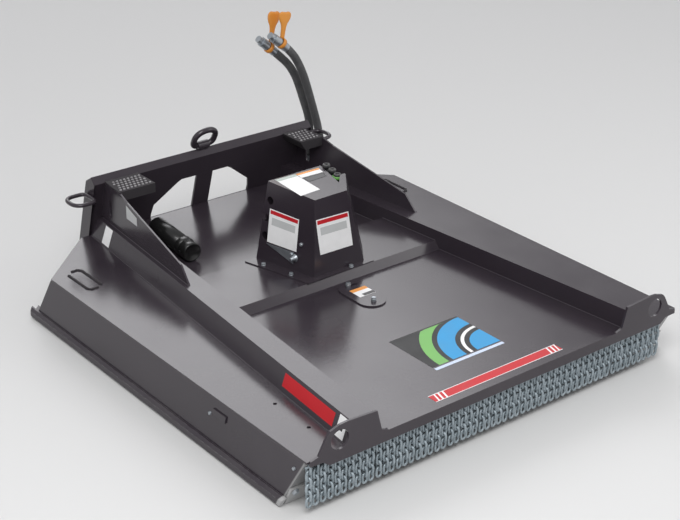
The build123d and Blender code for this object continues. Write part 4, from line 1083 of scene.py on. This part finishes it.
def add_weld(seam, start, end, draw, size=WELD_RADIUS):
    """A straight bead between two points of the drawing."""
    start = at(*start)
    end = at(*end)
    count = max(3, int((end - start).length / (1.25 * size * MM)))
    way = (end - start).normalized()
    side = way.orthogonal().normalized()
    up = way.cross(side)
    rings = []
    for i in range(count + 1):
        middle = start.lerp(end, i / count)
        radius = size * MM * (0.88 + 0.24 * (i % 2) + draw.uniform(-0.08, 0.08))
        turns = [2 * pi * k / WELD_SIDES for k in range(WELD_SIDES)]
        rings.append([middle + radius * (cos(t) * side + sin(t) * up) for t in turns])
    seam.rings(rings)


WELDS = [
    # start and end, both as x, y, z on the right side; the left side mirrors them
    ((rail_inner(10), 10, 0), (rail_inner(1026), 1026, 0)),
    ((rail_inner(1402), 1402, 0), (rail_inner(2100), 2100, 0)),
    ((rail_foot(10), 10, 0), (rail_foot(2100), 2100, 0)),
    ((gusset_outer(GUSSET_FOOT_Y), GUSSET_FOOT_Y, RAIL_HEIGHT), (gusset_outer(2080), 2080, RAIL_HEIGHT)),
    ((rail_inner(1052), 1052, PLATFORM_TOP), (rail_inner(1388), 1388, PLATFORM_TOP)),
    ((600, 0, 3), (DECK_HALF_WIDTH - 60, 0, 3)),
]
# Dark beads in the dark step coat on the deck outside each rail: a painted reflection of an outline
# mirrored in the glossy deck
OUTLINE_BEAD_RADIUS = 6.5
REFLECTED_OUTLINES = [
    # two open outlines on the deck outside each rail, as x and y on the right side; their dark beads are a
    # painted reflection
    [(889, 1798), (889, 1640), (878, 1623), (843, 1623)],
    [(862, 1822), (832, 1822), (820, 1806), (820, 1638)],
]
draw = random.Random(3)
for name, side in (("left", -1), ("right", 1)):
    seam = Builder()
    for (x1, y1, z1), (x2, y2, z2) in WELDS:
        add_weld(seam, (side * x1, y1, z1), (side * x2, y2, z2), draw)
    seam.finish(name + "_welds", [charcoal])
    # The painted reflection: dark beads along the outlines on the deck
    reflection_beads = Builder()
    for outline in REFLECTED_OUTLINES:
        for (x1, y1), (x2, y2) in zip(outline, outline[1:]):
            add_weld(reflection_beads, (side * x1, y1, 0), (side * x2, y2, 0), draw, OUTLINE_BEAD_RADIUS)
    reflection_beads.finish(name + "_deck_beads", [step_coat])

# Small pieces on the skirts: a flat boss at mid length, bolts, and a bolt in the toe that carries the
# painted reflection
BOSS = [(483, -46), (568, -46), (572, -74), (487, -74)]
BOSS_SHEET = 6
SKIRT_BOLTS = [(66, -55), (590, -78)]
TOE_BOLT = (957, 79.3, -163)
for name, side in (("left", -1), ("right", 1)):
    boss = Builder()
    corners = [at(side * skirt_outer(z), y, z) for y, z in BOSS]
    boss.prism(corners, Vector((side * BOSS_SHEET * MM, 0, 0)))
    boss.finish(name + "_skirt_boss", [charcoal])
    studs = Builder()
    out = Vector((side, 0, SKIRT_FLARE))
    for y, z in SKIRT_BOLTS:
        studs.bolt(at(side * skirt_outer(z), y, z), out, 12, 5)
    toe_x, toe_y, toe_z = TOE_BOLT
    studs.bolt(at(side * toe_x, toe_y, toe_z), (0, -1, -NOSE_RAKE), 24, 8)
    studs.finish(name + "_skirt_bolts", [finishes["zinc_steel"]])

# Manual tube and its screw cap, and the ears of the tube's clamps
TUBE_AXIS = Vector((-RAIL_SPLAY, -1, 0)).normalized()
TUBE_CENTRE_Z = 46.5
TUBE_REAR = Vector((-373 + RAIL_SPLAY * 170, 1925, TUBE_CENTRE_Z))
TUBE_RUN = 341
TUBE_PROFILE = [(38, 0), (41, 1), (43, 5), (43, 262)]
TUBE_CAP_PROFILE = [(43, -88), (46, -87), (46.5, -85), (46.5, -62), (45, -58), (42.5, -57), (42.5, -53),
                    (44.5, -51), (44.5, -12), (43.5, -4), (40, 0), (36, 0), (35, -2), (1, -2)]
EAR_PLACES = (78, 182)
EAR_OUT = 54
EAR = [(-11, -14), (11, -14), (11, 14), (-11, 14)]
EAR_SHEET = 3
side = TUBE_AXIS.cross(Vector((0, 0, 1)))
tube = Builder()
tube.turned(at(*TUBE_REAR), TUBE_AXIS, TUBE_PROFILE, 48)
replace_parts(tube.finish("document_tube", [finishes["black_plastic"]]), "manual_tube")
screw_cap = Builder()
screw_cap.turned(at(*(TUBE_REAR + TUBE_AXIS * TUBE_RUN)), TUBE_AXIS, TUBE_CAP_PROFILE, 48)
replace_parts(screw_cap.finish("screw_cap", [finishes["black_plastic"]]), "tube_cap")
ears = Builder()
for along in EAR_PLACES:
    for way in (-1, 1):
        middle = TUBE_REAR + TUBE_AXIS * along + side * way * EAR_OUT
        corners = []
        for a, b in EAR:
            spot = middle + TUBE_AXIS * a + side * b
            corners.append(at(spot.x, spot.y, 0))
        ears.prism(corners, Vector((0, 0, EAR_SHEET * MM)))
        ears.bolt(at(middle.x, middle.y, EAR_SHEET), (0, 0, 1), 10, 5)
ears.finish("tube_clamp_ears", [finishes["zinc_steel"]])

# Floor and lights
FLOOR_HALF = 40
FLOOR_COLOUR = (0.64, 0.64, 0.635, 1)
floor_corners = [(x * FLOOR_HALF, y * FLOOR_HALF, 0) for x, y in ((-1, -1), (1, -1), (1, 1), (-1, 1))]
floor_mesh = bpy.data.meshes.new("floor")
floor_mesh.from_pydata(floor_corners, [], [[0, 1, 2, 3]])
floor_object = as_object("floor", floor_mesh)
floor_material = bpy.data.materials.new("pale_floor")
floor_material.use_nodes = True
floor_surface = floor_material.node_tree.nodes["Principled BSDF"]
floor_surface.inputs["Base Color"].default_value = FLOOR_COLOUR
floor_surface.inputs["Roughness"].default_value = 0.7
floor_mesh.materials.append(floor_material)

# The studio is dim all round, with a soft glow behind the machine
GLOW_TURN = radians(27.8)
GLOW_HEIGHT = radians(37.6)
GLOW_EDGE = radians(18.5)
GLOW_FULL = radians(13.5)
DIM = 0.62
GLOW = 3.0
world = bpy.data.worlds.new("studio")
bpy.context.scene.world = world
world.use_nodes = True
sky_tree = world.node_tree
sky = sky_tree.nodes["Background"]
towards = sky_tree.nodes.new("ShaderNodeVectorMath")
towards.operation = "DOT_PRODUCT"
sky_tree.links.new(sky_tree.nodes.new("ShaderNodeTexCoord").outputs["Generated"], towards.inputs[0])
towards.inputs[1].default_value = (sin(GLOW_TURN) * cos(GLOW_HEIGHT), cos(GLOW_TURN) * cos(GLOW_HEIGHT),
                                   sin(GLOW_HEIGHT))
spread = sky_tree.nodes.new("ShaderNodeMapRange")
spread.interpolation_type = "SMOOTHSTEP"
for key, number in (("From Min", cos(GLOW_EDGE)), ("From Max", cos(GLOW_FULL)), ("To Min", DIM),
                    ("To Max", DIM + GLOW)):
    spread.inputs[key].default_value = number
sky_tree.links.new(towards.outputs["Value"], spread.inputs["Value"])
sky_tree.links.new(spread.outputs["Result"], sky.inputs["Strength"])
sky.inputs["Color"].default_value = (0.98, 0.98, 1.0, 1)

LAMPS = [
    # name, place, target, size, watts
    ("key_light", (-3.0, -3.5, 5.5), (0, 0, 0.2), 3.5, 260),
    ("fill_light", (4.5, -3.0, 3.5), (0, 0, 0.2), 3.0, 60),
]
for name, place, target, size, watts in LAMPS:
    lamp = bpy.data.lights.new(name, "AREA")
    lamp.size = size
    lamp.energy = watts
    lamp_object = bpy.data.objects.new(name, lamp)
    lamp_object.location = place
    lamp_object.rotation_mode = "QUATERNION"
    lamp_object.rotation_quaternion = (Vector(target) - Vector(place)).to_track_quat("-Z", "Y")
    bpy.context.scene.collection.objects.link(lamp_object)

bpy.context.scene.view_settings.view_transform = "Standard"
